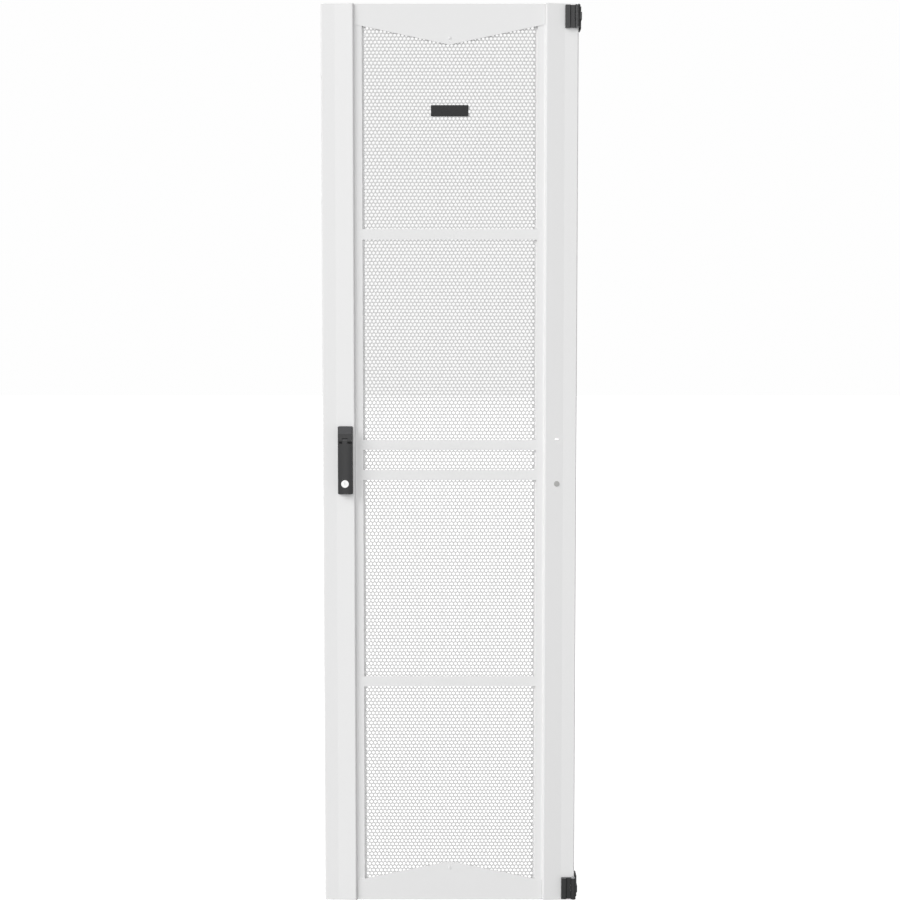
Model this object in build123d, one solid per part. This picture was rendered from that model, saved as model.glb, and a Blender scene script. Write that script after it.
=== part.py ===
from build123d import *
import math
import os

# Perforated front door of a rack cabinet, in millimetres.
# X runs across the door, Y from its front face to the cabinet and Z up.
# The pieces are drawn with X = 0 at mid-width, Y = 0 at the face of the stiles
# and Z = 0 at the bottom edge, and are moved to the row's frame at the end.

# Door
DOOR_HEIGHT = 2086.0
FACE_WIDTH = 588.0
DOOR_DEPTH = 38.0
SHEET = 1.5
INSIDE_BEND = 1.0
OUTSIDE_BEND = INSIDE_BEND + SHEET

# Stile section, from the outer edge inwards
EDGE_WIDTH = 31.0
EDGE_RISE = 1.0
FACE_RISE = 5.0
STEP_INSET = 73.0
STEP_RUN = 3.0
STEP_DEPTH = 6.0
STILE_WIDTH = 93.0
RETURN_FLARE = 3.5
LIP_WIDTH = 22.5

# Rails and end plates
RAIL_WEB = 40.0
RAIL_LIP = 22.0
FLANGE_CLEARANCE = 0.3
V_PLATE_END = 46.5
V_PLATE_APEX = 92.0
V_PLATE_CLEARANCE = 0.2
RIVET_FROM_END = 77.0
RIVET_RADIUS = 2.0
RIVET_HEAD = 3.4
RIVET_HEAD_HEIGHT = 1.6

# Crossbars, by the distance of their middles from the middle of the door
CROSSBAR_HEIGHT = 24.0
CROSSBAR_OFFSETS = (-521.0, -35.0, 35.0, 521.0)

# Perforated sheet, with hexagonal holes in staggered rows
SHEET_LAP = 12.0
PERF_COLUMNS = 8
PERF_OPEN_SHARE = 6.7 / 9.0
PERF_ROW_RATIO = 7.85 / 9.0
PERF_SMALLEST = 0.12
GROOVE_OUTER = 202.0
GROOVE_DEPTH = 5.0
GROOVE_STEEP_RUN = 3.0
GROOVE_GENTLE_RUN = 7.0
RETURN_HOLE = 20.0
RETURN_HOLE_ROWS = 2

# Nameplate
NAMEPLATE_WIDTH = 86.0
NAMEPLATE_HEIGHT = 25.0
NAMEPLATE_THICKNESS = 3.0
NAMEPLATE_FROM_TOP = 240.6
NAMEPLATE_CORNER = 1.5
NAMEPLATE_STUD_SPACING = 60.0
NAMEPLATE_STUD_RADIUS = 2.0
PUSH_NUT_RADIUS = 5.0
PUSH_NUT_THICKNESS = 1.2

# Hinges
AXIS_FROM_EDGE = 2.5
AXIS_DEPTH = -4.0
BARREL_RADIUS = 6.0
HINGE_HEIGHT = 50.0
HINGE_WIDTH = 34.0
HINGE_FROM_END = 4.5
FRAME_KNUCKLE = 16.2
KNUCKLE_GAP = 0.3
HINGE_RIB_WIDTH = 10.5
HINGE_RIB_FRONT = -7.0
HINGE_WEB_FRONT = -2.5
HINGE_RIB_SLOPE = 2.0
PIN_RADIUS = 3.0
PIN_CLEARANCE = 0.05
PIN_HEAD_RADIUS = 4.5
PIN_HEAD_HEIGHT = 1.6
HINGE_SCREW_RADIUS = 2.5
HINGE_SCREW_HEAD = 4.6
HINGE_SCREW_HEAD_HEIGHT = 2.8
HINGE_SCREW_DEPTH = 5.0
HINGE_SCREW_SPACING = 28.0
ARM_THICKNESS = 2.5
ARM_CLEARANCE = 0.8
ARM_NECK = 14.0
FLANGE_GAP = 4.5
FLANGE_WIDTH = 39.0
FRAME_SCREW_RADIUS = 3.3
FRAME_SCREW_SPACING = 32.0
FRAME_SCREW_FROM_BARREL = 15.5

# Blanking plug and unused handle slot in the hinge stile
PLUG_FROM_EDGE = 45.5
PLUG_BELOW_MIDDLE = 55.0
PLUG_HEAD_RADIUS = 6.5
PLUG_HEAD_HEIGHT = 1.4
PLUG_STEM_RADIUS = 5.0
PLUG_STEM_LENGTH = 7.0
PLUG_WALL = 1.2
SLOT_ABOVE_MIDDLE = 49.0
SLOT_LENGTH = 10.0
SLOT_WIDTH = 3.0

# Swing handle
HANDLE_FROM_EDGE = 52.0
HANDLE_WIDTH = 34.5
HANDLE_HEIGHT = 158.0
HANDLE_CORNER = 3.0
BASE_THICKNESS = 6.0
RUN_GAP = 0.3
LEVER_WIDTH = 31.5
LEVER_FRONT = -17.5
LEVER_EDGE_FALL = 2.2
LEVER_END_INSET = 1.5
LEVER_CORNER = 2.0
LEVER_WALL = 3.5
LEVER_POCKET_DEPTH = 7.0
SPINDLE_FROM_TOP = 17.0
PIVOT_FROM_TOP = 33.0
PIVOT_FRONT = -12.0
KNUCKLE_RADIUS = 5.5
EYE_WIDTH = 12.0
LEVER_PIN_RADIUS = 2.5
SPINDLE_RADIUS = 6.0
SPINDLE_SQUARE = 8.0
SPINDLE_SOCKET = 6.5
JOURNAL_RADIUS = 4.0
FIT = 0.05
SET_FIT = 0.02

# Lock
LOCK_FROM_BOTTOM = 25.0
LOCK_RADIUS = 8.7
LOCK_PROUD = 0.8
KEY_PLUG_RADIUS = 5.6
KEY_PLUG_PROUD = 0.3
KEY_SLOT_WIDTH = 1.4
KEY_SLOT_LENGTH = 7.0
KEY_SLOT_DEPTH = 4.0

# Rack and pinion
MODULE = 2.0
TEETH = 12
PRESSURE_ANGLE = math.radians(25)
ADDENDUM = 1.8
DEDENDUM = 2.2
BACKLASH = 0.25
FLANK_STEPS = 4
PINION_WIDTH = 7.0
RACK_TEETH_BEHIND = 2
RACK_TEETH_AHEAD = 5
RACK_END = 2.5
ROD_WIDTH = 10.0
ROD_THICKNESS = 5.0
LAP_LENGTH = 24.0
LAP_RIVET_RADIUS = 2.0
LAP_RIVET_HEAD = 3.6
LAP_RIVET_HEAD_HEIGHT = 1.2

# Gear case
CASE_STRIP_GAP = 0.3
CASE_FLOOR = 2.0
CASE_WALL = 3.4
CASE_HALF_HEIGHT = 34.0
CASE_COVER = 2.0
CASE_RUN_GAP = 0.5
CASE_BOSS = 9.0
CASE_COLUMN = 5.0
CASE_SCREW_OFFSET = 26.0
CASE_SCREW_RADIUS = 2.0
CASE_SCREW_HEAD = 3.8
CASE_SCREW_HEAD_HEIGHT = 2.6
CASE_SCREW_GRIP = 4.5
CLAMP_RADIUS = 7.0
CLAMP_THICKNESS = 2.0
CLAMP_FROM_BOTTOM = 9.0
WASHER_RADIUS = 7.0
WASHER_THICKNESS = 1.5
SPINDLE_SCREW_RADIUS = 2.0
SPINDLE_SCREW_HEAD = 3.6
SPINDLE_SCREW_HEAD_HEIGHT = 2.4
SPINDLE_SCREW_LENGTH = 8.0

# Latch rods, their guides and end rollers
ROD_END_GAP = 14.0
ROLLER_RADIUS = 6.0
ROLLER_WIDTH = 4.6
ROLLER_PIN_RADIUS = 1.5
FORK_SLOT = 5.2
FORK_DEPTH = 14.0
ROLLER_FROM_TIP = 4.0
GUIDE_HEIGHT = 14.0
GUIDE_WALL = 3.0
GUIDE_CLEARANCE = 0.3
GUIDE_PAD = 16.0
GUIDE_PAST_LAP = 30.0
GUIDE_BELOW_CLAMP = 12.0
GUIDE_FROM_END = 90.0
STUD_RADIUS = 2.0
STUD_PAST_NUT = 1.5
NUT_ACROSS_FLATS = 7.0
NUT_HEIGHT = 3.0

# Buffers and earth stud
BUFFER_RADIUS = 7.0
BUFFER_HEIGHT = 6.0
BUFFER_STEM_RADIUS = 3.0
BUFFER_FROM_END = 170.0
EARTH_STUD_RADIUS = 3.0
EARTH_STUD_LENGTH = 18.0
EARTH_STUD_FROM_END = 120.0
EARTH_COLLAR_RADIUS = 5.0
EARTH_COLLAR_HEIGHT = 2.0
EARTH_NUT_FLATS = 10.0
EARTH_NUT_HEIGHT = 5.0
EARTH_WASHER_RADIUS = 6.2
EARTH_WASHER_THICKNESS = 1.6

# Places that follow from the sizes above
MIDDLE = DOOR_HEIGHT / 2
FACE_HALF = FACE_WIDTH / 2
FOLD_X = FACE_HALF - EDGE_WIDTH
STEP_X = FACE_HALF - STEP_INSET
STRIP_X = STEP_X - STEP_RUN
WINDOW_HALF = FACE_HALF - STILE_WIDTH
REAR_HALF = FACE_HALF + RETURN_FLARE
EDGE_ANGLE = math.atan2(EDGE_RISE, EDGE_WIDTH)
FACE_ANGLE = math.atan2(FACE_RISE, FOLD_X - STEP_X)
STRIP_REAR = STEP_DEPTH + SHEET
PERF_REAR = STRIP_REAR + SHEET
RETURN_SEAM = STRIP_REAR + SHEET / 3

AXIS_X = FACE_HALF - AXIS_FROM_EDGE
ARM_INSIDE = REAR_HALF + ARM_CLEARANCE
ARM_OUTSIDE = ARM_INSIDE + ARM_THICKNESS
FLANGE_FRONT = DOOR_DEPTH + FLANGE_GAP
FLANGE_REAR = FLANGE_FRONT + ARM_THICKNESS
FRAME_SCREW_X = AXIS_X - FRAME_SCREW_FROM_BARREL
LOWER_HINGE = HINGE_FROM_END + HINGE_HEIGHT / 2
UPPER_HINGE = DOOR_HEIGHT - LOWER_HINGE

HANDLE_X = HANDLE_FROM_EDGE - FACE_HALF
HANDLE_TOP = MIDDLE + HANDLE_HEIGHT / 2
HANDLE_BOTTOM = MIDDLE - HANDLE_HEIGHT / 2
SPINDLE_Z = HANDLE_TOP - SPINDLE_FROM_TOP
PIVOT_Z = HANDLE_TOP - PIVOT_FROM_TOP
LOCK_Z = HANDLE_BOTTOM + LOCK_FROM_BOTTOM
LEVER_BACK = -BASE_THICKNESS - RUN_GAP

PITCH_RADIUS = MODULE * TEETH / 2
TOOTH_PITCH = math.pi * MODULE
CASE_FRONT = STRIP_REAR + CASE_STRIP_GAP
PINION_FRONT = CASE_FRONT + CASE_FLOOR + CASE_RUN_GAP
PINION_REAR = PINION_FRONT + PINION_WIDTH
COVER_FRONT = PINION_REAR + CASE_RUN_GAP
COVER_REAR = COVER_FRONT + CASE_COVER
ROD_FRONT = PINION_FRONT + (PINION_WIDTH - ROD_THICKNESS) / 2
ROD_REAR = ROD_FRONT + ROD_THICKNESS
ROD_MIDDLE = (ROD_FRONT + ROD_REAR) / 2
RACK_ROOT = PITCH_RADIUS + DEDENDUM
RACK_BACK = RACK_ROOT + ROD_WIDTH
ROD_OFFSET = RACK_ROOT + ROD_WIDTH / 2
CASE_INSIDE = RACK_BACK + RUN_GAP
CASE_HALF_WIDTH = CASE_INSIDE + CASE_WALL


def upright(outline, low, high):
    """Solid of an outline in X and Y that stands from one height to another."""
    return extrude(Pos(0, 0, low) * outline, high - low)


def facing(outline, front, rear):
    """Solid of an outline in X and Z that runs from one depth to another."""
    return extrude(Plane.XZ.offset(-rear) * outline, rear - front)


def across(outline, left, right):
    """Solid of an outline in Y and Z that runs from one X to another."""
    return extrude(Plane.YZ.offset(left) * outline, right - left)


def block(left, right, front, rear, low, high):
    """Rectangular solid between six limits."""
    corner = (Align.MIN, Align.MIN, Align.MIN)
    return Pos(left, front, low) * Box(right - left, rear - front, high - low, align=corner)


def bar_y(x, z, radius, front, rear):
    """Round bar or hole along Y."""
    return facing(Pos(x, z) * Circle(radius), front, rear)


def bar_x(y, z, radius, left, right):
    """Round bar or hole along X."""
    return across(Pos(y, z) * Circle(radius), left, right)


def bar_z(x, y, radius, low, high):
    """Round bar or hole along Z."""
    return upright(Pos(x, y) * Circle(radius), low, high)


def bevel_front(head, size):
    """Round head with its front edge bevelled."""
    return chamfer(head.edges().filter_by(GeomType.CIRCLE).group_by(Axis.Y)[0], size)


def hexagon(x, z, across_flats):
    """Hexagon with a corner at its top and bottom."""
    return Pos(x, z) * RegularPolygon(across_flats / 2, 6, major_radius=False, rotation=30)


def flip_x(part):
    """The same piece on the other side of the door's middle."""
    return mirror(part, about=Plane.YZ)


def flip_z(part):
    """The same piece at the other end of the door."""
    return mirror(part, about=Plane.XY.offset(MIDDLE))


def fold_x(gap=0.0):
    """Distance from mid-width of the fold between a stile's face and its edge strip."""
    spread = 1 / math.cos(FACE_ANGLE) - 1 / math.cos(EDGE_ANGLE)
    return FOLD_X - gap * spread / (math.tan(FACE_ANGLE) - math.tan(EDGE_ANGLE))


def face_depth(x, gap=0.0):
    """Depth a gap behind a stile's face and edge strip, at a distance from mid-width."""
    face = (x - (FOLD_X + STEP_X) / 2) * math.tan(FACE_ANGLE) + gap / math.cos(FACE_ANGLE)
    edge = FACE_RISE / 2 + (x - FOLD_X) * math.tan(EDGE_ANGLE) + gap / math.cos(EDGE_ANGLE)
    return min(face, edge)


def on_face(x, z):
    """Place on the hinge stile's face, square to it."""
    return Pos(x, face_depth(x), z) * Rot(0, 0, math.degrees(FACE_ANGLE))


def before_face(gap=0.0):
    """Space in front of the handle stile's face, or of its inside at a gap of one sheet."""
    front = -4 * FACE_RISE
    outline = Polygon(
        (-REAR_HALF, front),
        (-STEP_X, front),
        (-STEP_X, face_depth(STEP_X, gap)),
        (-fold_x(gap), face_depth(fold_x(gap), gap)),
        (-REAR_HALF, face_depth(REAR_HALF, gap)),
        align=None,
    )
    return upright(outline, 0, DOOR_HEIGHT)


# Folded stiles and rails

def stile_section():
    """Section of the right stile: strip, step, face, edge strip, side return and lip."""
    corners = (
        (WINDOW_HALF, STEP_DEPTH),
        (STRIP_X, STEP_DEPTH),
        (STEP_X, face_depth(STEP_X)),
        (FOLD_X, face_depth(FOLD_X)),
        (FACE_HALF, face_depth(FACE_HALF)),
        (REAR_HALF, DOOR_DEPTH),
        (REAR_HALF - LIP_WIDTH, DOOR_DEPTH),
    )
    bends = (INSIDE_BEND, OUTSIDE_BEND, INSIDE_BEND, OUTSIDE_BEND, OUTSIDE_BEND)
    with BuildSketch() as section:
        with BuildLine():
            FilletPolyline(*corners, radius=bends)
            offset(amount=SHEET, side=Side.LEFT)
        make_face()
    return section.sketch


def return_holes():
    """Row of hexagonal holes in a side return, clear of both hinges."""
    step = RETURN_HOLE_ROWS * PERF_ROW_RATIO * 2 * WINDOW_HALF / PERF_COLUMNS
    count = int((UPPER_HINGE - LOWER_HINGE - HINGE_HEIGHT - RETURN_HOLE) / step)
    depth = (face_depth(FACE_HALF) + DOOR_DEPTH) / 2
    places = [(depth, MIDDLE + (i - (count - 1) / 2) * step) for i in range(count)]
    holes = Sketch() + [hexagon(y, z, RETURN_HOLE) for y, z in places]
    return across(holes, FACE_HALF - LIP_WIDTH / 2, REAR_HALF + SHEET)


def right_stile():
    """Hinge stile, with the holes for a handle on this side left over."""
    stile = upright(stile_section(), 0, DOOR_HEIGHT) - return_holes()
    plug_x = FACE_HALF - PLUG_FROM_EDGE
    stile -= plug_place() * bar_y(0, 0, PLUG_STEM_RADIUS + FIT, -1, SHEET + 1)
    slot = facing(Sketch() + SlotOverall(SLOT_LENGTH, SLOT_WIDTH), -1, SHEET + 1)
    stile -= on_face(plug_x, MIDDLE + SLOT_ABOVE_MIDDLE) * slot
    for hinge in (LOWER_HINGE, UPPER_HINGE):
        for place in hinge_screw_places(hinge):
            stile -= place * Cylinder(HINGE_SCREW_RADIUS + FIT, 4 * SHEET)
    return stile


def left_stile():
    """Handle stile, with the holes that the handle and its screws pass."""
    stile = flip_x(upright(stile_section(), 0, DOOR_HEIGHT) - return_holes())
    rear = SHEET + FACE_RISE
    stile -= bar_y(HANDLE_X, SPINDLE_Z, SPINDLE_RADIUS + RUN_GAP, -FACE_RISE, rear)
    for z in handle_screw_heights():
        stile -= bar_y(HANDLE_X, z, CASE_SCREW_RADIUS + RUN_GAP, -FACE_RISE, rear)
    for z in buffer_heights():
        stile -= bar_y(buffer_x(), z, BUFFER_STEM_RADIUS + FIT, DOOR_DEPTH - 2 * SHEET, DOOR_DEPTH + 1)
    return stile


def stile_strips(side, stile):
    """A stile's face, perforated return and rear lip, by name, as they are welded."""
    lip_space = block(
        REAR_HALF - LIP_WIDTH - 1, REAR_HALF - OUTSIDE_BEND,
        DOOR_DEPTH - OUTSIDE_BEND, DOOR_DEPTH + 1,
        -1, DOOR_HEIGHT + 1,
    )
    return_space = block(
        FACE_HALF - LIP_WIDTH, REAR_HALF + 1,
        RETURN_SEAM, DOOR_DEPTH + 1,
        -1, DOOR_HEIGHT + 1,
    )
    if side == "left":
        lip_space = flip_x(lip_space)
        return_space = flip_x(return_space)
    front = stile - lip_space
    return {
        f"{side}_stile": front - return_space,
        f"{side}_return": front & return_space,
        f"{side}_lip": stile & lip_space,
    }


def flange_outline():
    """End flange of a rail, which closes the section of both stiles."""
    gap = SHEET + FLANGE_CLEARANCE
    lean = math.atan2(STEP_RUN, STEP_DEPTH - face_depth(STEP_X))
    shoulder = math.tan((math.pi / 2 - lean + FACE_ANGLE) / 2) * gap + INSIDE_BEND
    side_depth = face_depth(FACE_HALF)
    edge = FACE_HALF - gap / math.cos(math.atan2(RETURN_FLARE, DOOR_DEPTH - side_depth))
    side = (
        (0, STEP_DEPTH),
        (WINDOW_HALF, STEP_DEPTH),
        (WINDOW_HALF, STEP_DEPTH + gap),
        (STRIP_X + shoulder, STEP_DEPTH + gap),
        (STEP_X + shoulder, face_depth(STEP_X + shoulder, gap)),
        (fold_x(gap), face_depth(fold_x(gap), gap)),
        (edge - OUTSIDE_BEND, face_depth(edge - OUTSIDE_BEND, gap)),
        (edge, side_depth + gap + OUTSIDE_BEND),
        (edge + RETURN_FLARE * 0.8, DOOR_DEPTH - gap - INSIDE_BEND),
        (REAR_HALF - LIP_WIDTH - FLANGE_CLEARANCE, DOOR_DEPTH - gap - INSIDE_BEND),
        (REAR_HALF - LIP_WIDTH - FLANGE_CLEARANCE, DOOR_DEPTH),
        (0, DOOR_DEPTH),
    )
    half = Polygon(*side, align=None)
    return half + mirror(half, about=Plane.YZ)


def top_rail():
    """Top rail: web behind the end plate, closing flange and rear lip."""
    rail = upright(flange_outline(), DOOR_HEIGHT - SHEET, DOOR_HEIGHT)
    rail += block(-WINDOW_HALF, WINDOW_HALF, STEP_DEPTH, STRIP_REAR, DOOR_HEIGHT - RAIL_WEB, DOOR_HEIGHT)
    lip = REAR_HALF - LIP_WIDTH - FLANGE_CLEARANCE
    rail += block(-lip, lip, DOOR_DEPTH - SHEET, DOOR_DEPTH, DOOR_HEIGHT - RAIL_LIP, DOOR_HEIGHT)
    return rail


# Plates and bars on the front

def top_v_plate():
    """End plate that dips to a point at mid-width."""
    half = STRIP_X - INSIDE_BEND - V_PLATE_CLEARANCE
    outline = Polygon(
        (-half, DOOR_HEIGHT),
        (-half, DOOR_HEIGHT - V_PLATE_END),
        (0, DOOR_HEIGHT - V_PLATE_APEX),
        (half, DOOR_HEIGHT - V_PLATE_END),
        (half, DOOR_HEIGHT),
        align=None,
    )
    plate = facing(outline, STEP_DEPTH - SHEET, STEP_DEPTH)
    return plate - bar_y(0, DOOR_HEIGHT - RIVET_FROM_END, RIVET_RADIUS + SET_FIT, 0, STEP_DEPTH + 1)


def apex_rivet():
    """Rivet with a collar that holds an end plate's point off the perforated sheet."""
    z = DOOR_HEIGHT - RIVET_FROM_END
    plate_front = STEP_DEPTH - SHEET
    rivet = bar_y(0, z, RIVET_RADIUS, plate_front, PERF_REAR)
    rivet += bar_y(0, z, RIVET_HEAD, STEP_DEPTH, STRIP_REAR)
    head = bar_y(0, z, RIVET_HEAD, plate_front - RIVET_HEAD_HEIGHT, plate_front)
    tail = bar_y(0, z, RIVET_HEAD, PERF_REAR, PERF_REAR + RIVET_HEAD_HEIGHT)
    return rivet + bevel_front(head, RIVET_HEAD_HEIGHT * 0.6) + tail


def crossbar(offset_z):
    """Flat bar between the strips of the two stiles."""
    low = MIDDLE + offset_z - CROSSBAR_HEIGHT / 2
    return block(-WINDOW_HALF, WINDOW_HALF, STEP_DEPTH, STRIP_REAR, low, low + CROSSBAR_HEIGHT)


def bays():
    """The window's openings between the end plates and the crossbars."""
    top = DOOR_HEIGHT - V_PLATE_END - (V_PLATE_APEX - V_PLATE_END) * (1 - WINDOW_HALF / STRIP_X)
    apex = DOOR_HEIGHT - V_PLATE_APEX
    window = Polygon(
        (-WINDOW_HALF, DOOR_HEIGHT - top),
        (0, DOOR_HEIGHT - apex),
        (WINDOW_HALF, DOOR_HEIGHT - top),
        (WINDOW_HALF, top),
        (0, apex),
        (-WINDOW_HALF, top),
        align=None,
    )
    for offset_z in CROSSBAR_OFFSETS:
        window -= Pos(0, MIDDLE + offset_z) * Rectangle(2 * WINDOW_HALF, CROSSBAR_HEIGHT)
    plate = Rectangle(NAMEPLATE_WIDTH, NAMEPLATE_HEIGHT)
    return window - Pos(0, DOOR_HEIGHT - NAMEPLATE_FROM_TOP) * plate


def sheet_section():
    """Section of the perforated sheet, with a pressed groove along each long edge."""
    valley = GROOVE_OUTER - GROOVE_STEEP_RUN
    field = valley - GROOVE_GENTLE_RUN
    half = (
        (WINDOW_HALF + SHEET_LAP, STRIP_REAR),
        (GROOVE_OUTER, STRIP_REAR),
        (valley, STRIP_REAR + GROOVE_DEPTH),
        (field, STRIP_REAR),
    )
    corners = [(-x, y) for x, y in half] + list(reversed(half))
    with BuildSketch() as section:
        with BuildLine():
            bends = (OUTSIDE_BEND, INSIDE_BEND, OUTSIDE_BEND)
            FilletPolyline(*corners, radius=bends + bends)
            offset(amount=SHEET, side=Side.LEFT)
        make_face()
    return section.sketch


def perforated_sheet():
    """Sheet behind the window, with staggered hexagonal holes in each bay."""
    pitch = 2 * WINDOW_HALF / PERF_COLUMNS
    row = pitch * PERF_ROW_RATIO
    rows = int(DOOR_HEIGHT / row / 2)
    hole = pitch * PERF_OPEN_SHARE
    centres = [
        ((column + (i % 2) / 2 - PERF_COLUMNS / 2) * pitch, MIDDLE + i * row)
        for i in range(-rows, rows + 1)
        for column in range(PERF_COLUMNS + 1)
    ]
    bay_faces = bays().faces()
    openings = []
    for x, z in centres:
        cell = hexagon(x, z, hole)
        for bay in bay_faces:
            box = bay.bounding_box()
            if box.min.Y - hole < z < box.max.Y + hole:
                shown = cell & bay
                if shown:
                    openings += shown.faces()
    smallest = PERF_SMALLEST * hexagon(0, 0, hole).area
    wires = [face.outer_wire() for face in openings if face.area > smallest]
    wires += [(Pos(0, z) * Circle(RIVET_RADIUS + SET_FIT)).wire() for z in rivet_heights()]
    stud = Circle(NAMEPLATE_STUD_RADIUS + FIT)
    wires += [(Pos(x, DOOR_HEIGHT - NAMEPLATE_FROM_TOP) * stud).wire() for x in nameplate_stud_places()]
    edge = V_PLATE_END - RAIL_WEB + SHEET_LAP
    rim = Pos(0, MIDDLE) * Rectangle(2 * (WINDOW_HALF + SHEET_LAP), DOOR_HEIGHT - 2 * edge)
    pierced = Sketch() + Face(rim.wire(), wires)
    folded = upright(sheet_section(), edge, DOOR_HEIGHT - edge)
    return folded & facing(pierced, STRIP_REAR - 1, PERF_REAR + GROOVE_DEPTH + 1)


def rivet_heights():
    """Heights of the two rivets at the points of the end plates."""
    return (RIVET_FROM_END, DOOR_HEIGHT - RIVET_FROM_END)


# Nameplate

def nameplate_stud_places():
    """Distances of the nameplate's studs from mid-width."""
    return (-NAMEPLATE_STUD_SPACING / 2, NAMEPLATE_STUD_SPACING / 2)


def nameplate():
    """Bare plate that lies on the perforated sheet, with its two studs."""
    z = DOOR_HEIGHT - NAMEPLATE_FROM_TOP
    outline = Pos(0, z) * RectangleRounded(NAMEPLATE_WIDTH, NAMEPLATE_HEIGHT, NAMEPLATE_CORNER)
    plate = facing(outline, STRIP_REAR - NAMEPLATE_THICKNESS, STRIP_REAR)
    plate = chamfer(plate.faces().sort_by(Axis.Y)[0].edges(), NAMEPLATE_THICKNESS / 5)
    for x in nameplate_stud_places():
        end = PERF_REAR + 2 * PUSH_NUT_THICKNESS
        plate += bar_y(x, z, NAMEPLATE_STUD_RADIUS, STRIP_REAR, end)
    return plate


def push_nuts():
    """Push-on rings that hold the nameplate's studs behind the sheet."""
    z = DOOR_HEIGHT - NAMEPLATE_FROM_TOP
    rings = []
    for x in nameplate_stud_places():
        ring = Circle(PUSH_NUT_RADIUS) - Circle(NAMEPLATE_STUD_RADIUS + SET_FIT)
        rings.append(facing(Pos(x, z) * ring, PERF_REAR, PERF_REAR + PUSH_NUT_THICKNESS))
    return rings


# Hinges

def hinge_screw_places(hinge):
    """Places of a hinge's screws, on the edge strip and square to it."""
    x = AXIS_X + BARREL_RADIUS - HINGE_WIDTH + HINGE_RIB_WIDTH / 2
    turn = math.degrees(EDGE_ANGLE)
    heights = (hinge - HINGE_SCREW_SPACING / 2, hinge + HINGE_SCREW_SPACING / 2)
    return [Pos(x, face_depth(x), z) * Rot(0, 0, turn) * Rot(-90, 0, 0) for z in heights]


def door_hinge(hinge):
    """Hinge half on the door: rib, thin web and the outer two knuckles."""
    right = AXIS_X + BARREL_RADIUS
    left = right - HINGE_WIDTH
    rib = left + HINGE_RIB_WIDTH
    outline = Polygon(
        (left, face_depth(left)),
        (left, HINGE_RIB_FRONT),
        (rib, HINGE_RIB_FRONT),
        (rib + HINGE_RIB_SLOPE, HINGE_WEB_FRONT),
        (AXIS_X, HINGE_WEB_FRONT),
        (AXIS_X, face_depth(AXIS_X)),
        align=None,
    )
    outline += Pos(AXIS_X, AXIS_DEPTH) * Circle(BARREL_RADIUS)
    outline -= Pos(AXIS_X, AXIS_DEPTH) * Circle(PIN_RADIUS + PIN_CLEARANCE)
    low = hinge - HINGE_HEIGHT / 2
    high = hinge + HINGE_HEIGHT / 2
    leaf = upright(outline, low, high)
    reach = FRAME_KNUCKLE / 2 + KNUCKLE_GAP
    clear = AXIS_X - BARREL_RADIUS - 2 * KNUCKLE_GAP
    leaf -= block(clear, right + 1, AXIS_DEPTH - 2 * BARREL_RADIUS, DOOR_DEPTH, hinge - reach, hinge + reach)
    hole = Pos(0, 0, -HINGE_SCREW_DEPTH / 2)
    hole *= Cylinder(HINGE_SCREW_RADIUS + SET_FIT, HINGE_SCREW_DEPTH)
    for place in hinge_screw_places(hinge):
        leaf -= place * hole
    return leaf


def hinge_screws():
    """Screws that hold both door hinges from inside the stile."""
    length = HINGE_SCREW_DEPTH + SHEET
    screw = Pos(0, 0, SHEET - length / 2) * Cylinder(HINGE_SCREW_RADIUS, length)
    head_middle = Pos(0, 0, SHEET + HINGE_SCREW_HEAD_HEIGHT / 2)
    screw += head_middle * Cylinder(HINGE_SCREW_HEAD, HINGE_SCREW_HEAD_HEIGHT)
    places = hinge_screw_places(LOWER_HINGE) + hinge_screw_places(UPPER_HINGE)
    return [place * screw for place in places]


def frame_hinge(hinge):
    """Hinge half on the cabinet: middle knuckle, arm past the door and flange."""
    knuckle = Pos(AXIS_X, AXIS_DEPTH) * Circle(BARREL_RADIUS)
    neck = BARREL_RADIUS * 2 / 3
    root = Polygon(
        (AXIS_X, AXIS_DEPTH - neck),
        (ARM_OUTSIDE, AXIS_DEPTH - neck),
        (ARM_OUTSIDE, ARM_NECK),
        (ARM_INSIDE, ARM_NECK),
        (ARM_INSIDE, AXIS_DEPTH + neck),
        (AXIS_X, AXIS_DEPTH + neck),
        align=None,
    )
    outline = knuckle + root - Pos(AXIS_X, AXIS_DEPTH) * Circle(PIN_RADIUS + SET_FIT)
    leaf = upright(outline, hinge - FRAME_KNUCKLE / 2, hinge + FRAME_KNUCKLE / 2)
    low = hinge - HINGE_HEIGHT / 2
    high = hinge + HINGE_HEIGHT / 2
    leaf += block(ARM_INSIDE, ARM_OUTSIDE, ARM_NECK - ARM_THICKNESS, FLANGE_REAR, low, high)
    leaf += block(ARM_OUTSIDE - FLANGE_WIDTH, ARM_OUTSIDE, FLANGE_FRONT, FLANGE_REAR, low, high)
    for z in (hinge - FRAME_SCREW_SPACING / 2, hinge + FRAME_SCREW_SPACING / 2):
        leaf -= bar_y(FRAME_SCREW_X, z, FRAME_SCREW_RADIUS, FLANGE_FRONT - 1, FLANGE_REAR + 1)
    return leaf


def hinge_pin(hinge):
    """Pin held in the cabinet's knuckle, with a head over the door's knuckle."""
    low = hinge - HINGE_HEIGHT / 2
    high = hinge + HINGE_HEIGHT / 2
    seat = high + KNUCKLE_GAP
    pin = bar_z(AXIS_X, AXIS_DEPTH, PIN_RADIUS, low, seat)
    return pin + bar_z(AXIS_X, AXIS_DEPTH, PIN_HEAD_RADIUS, seat, seat + PIN_HEAD_HEIGHT)


# Handle, lock and their fixings

def case_screw_heights():
    """Heights of the gear case's two screws, of which only the lower one meets the handle's base."""
    return (SPINDLE_Z + CASE_SCREW_OFFSET, SPINDLE_Z - CASE_SCREW_OFFSET)


def handle_screw_heights():
    """Heights of the screws that clamp the handle's base to the stile."""
    return (case_screw_heights()[1], HANDLE_BOTTOM + CLAMP_FROM_BOTTOM)


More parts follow.
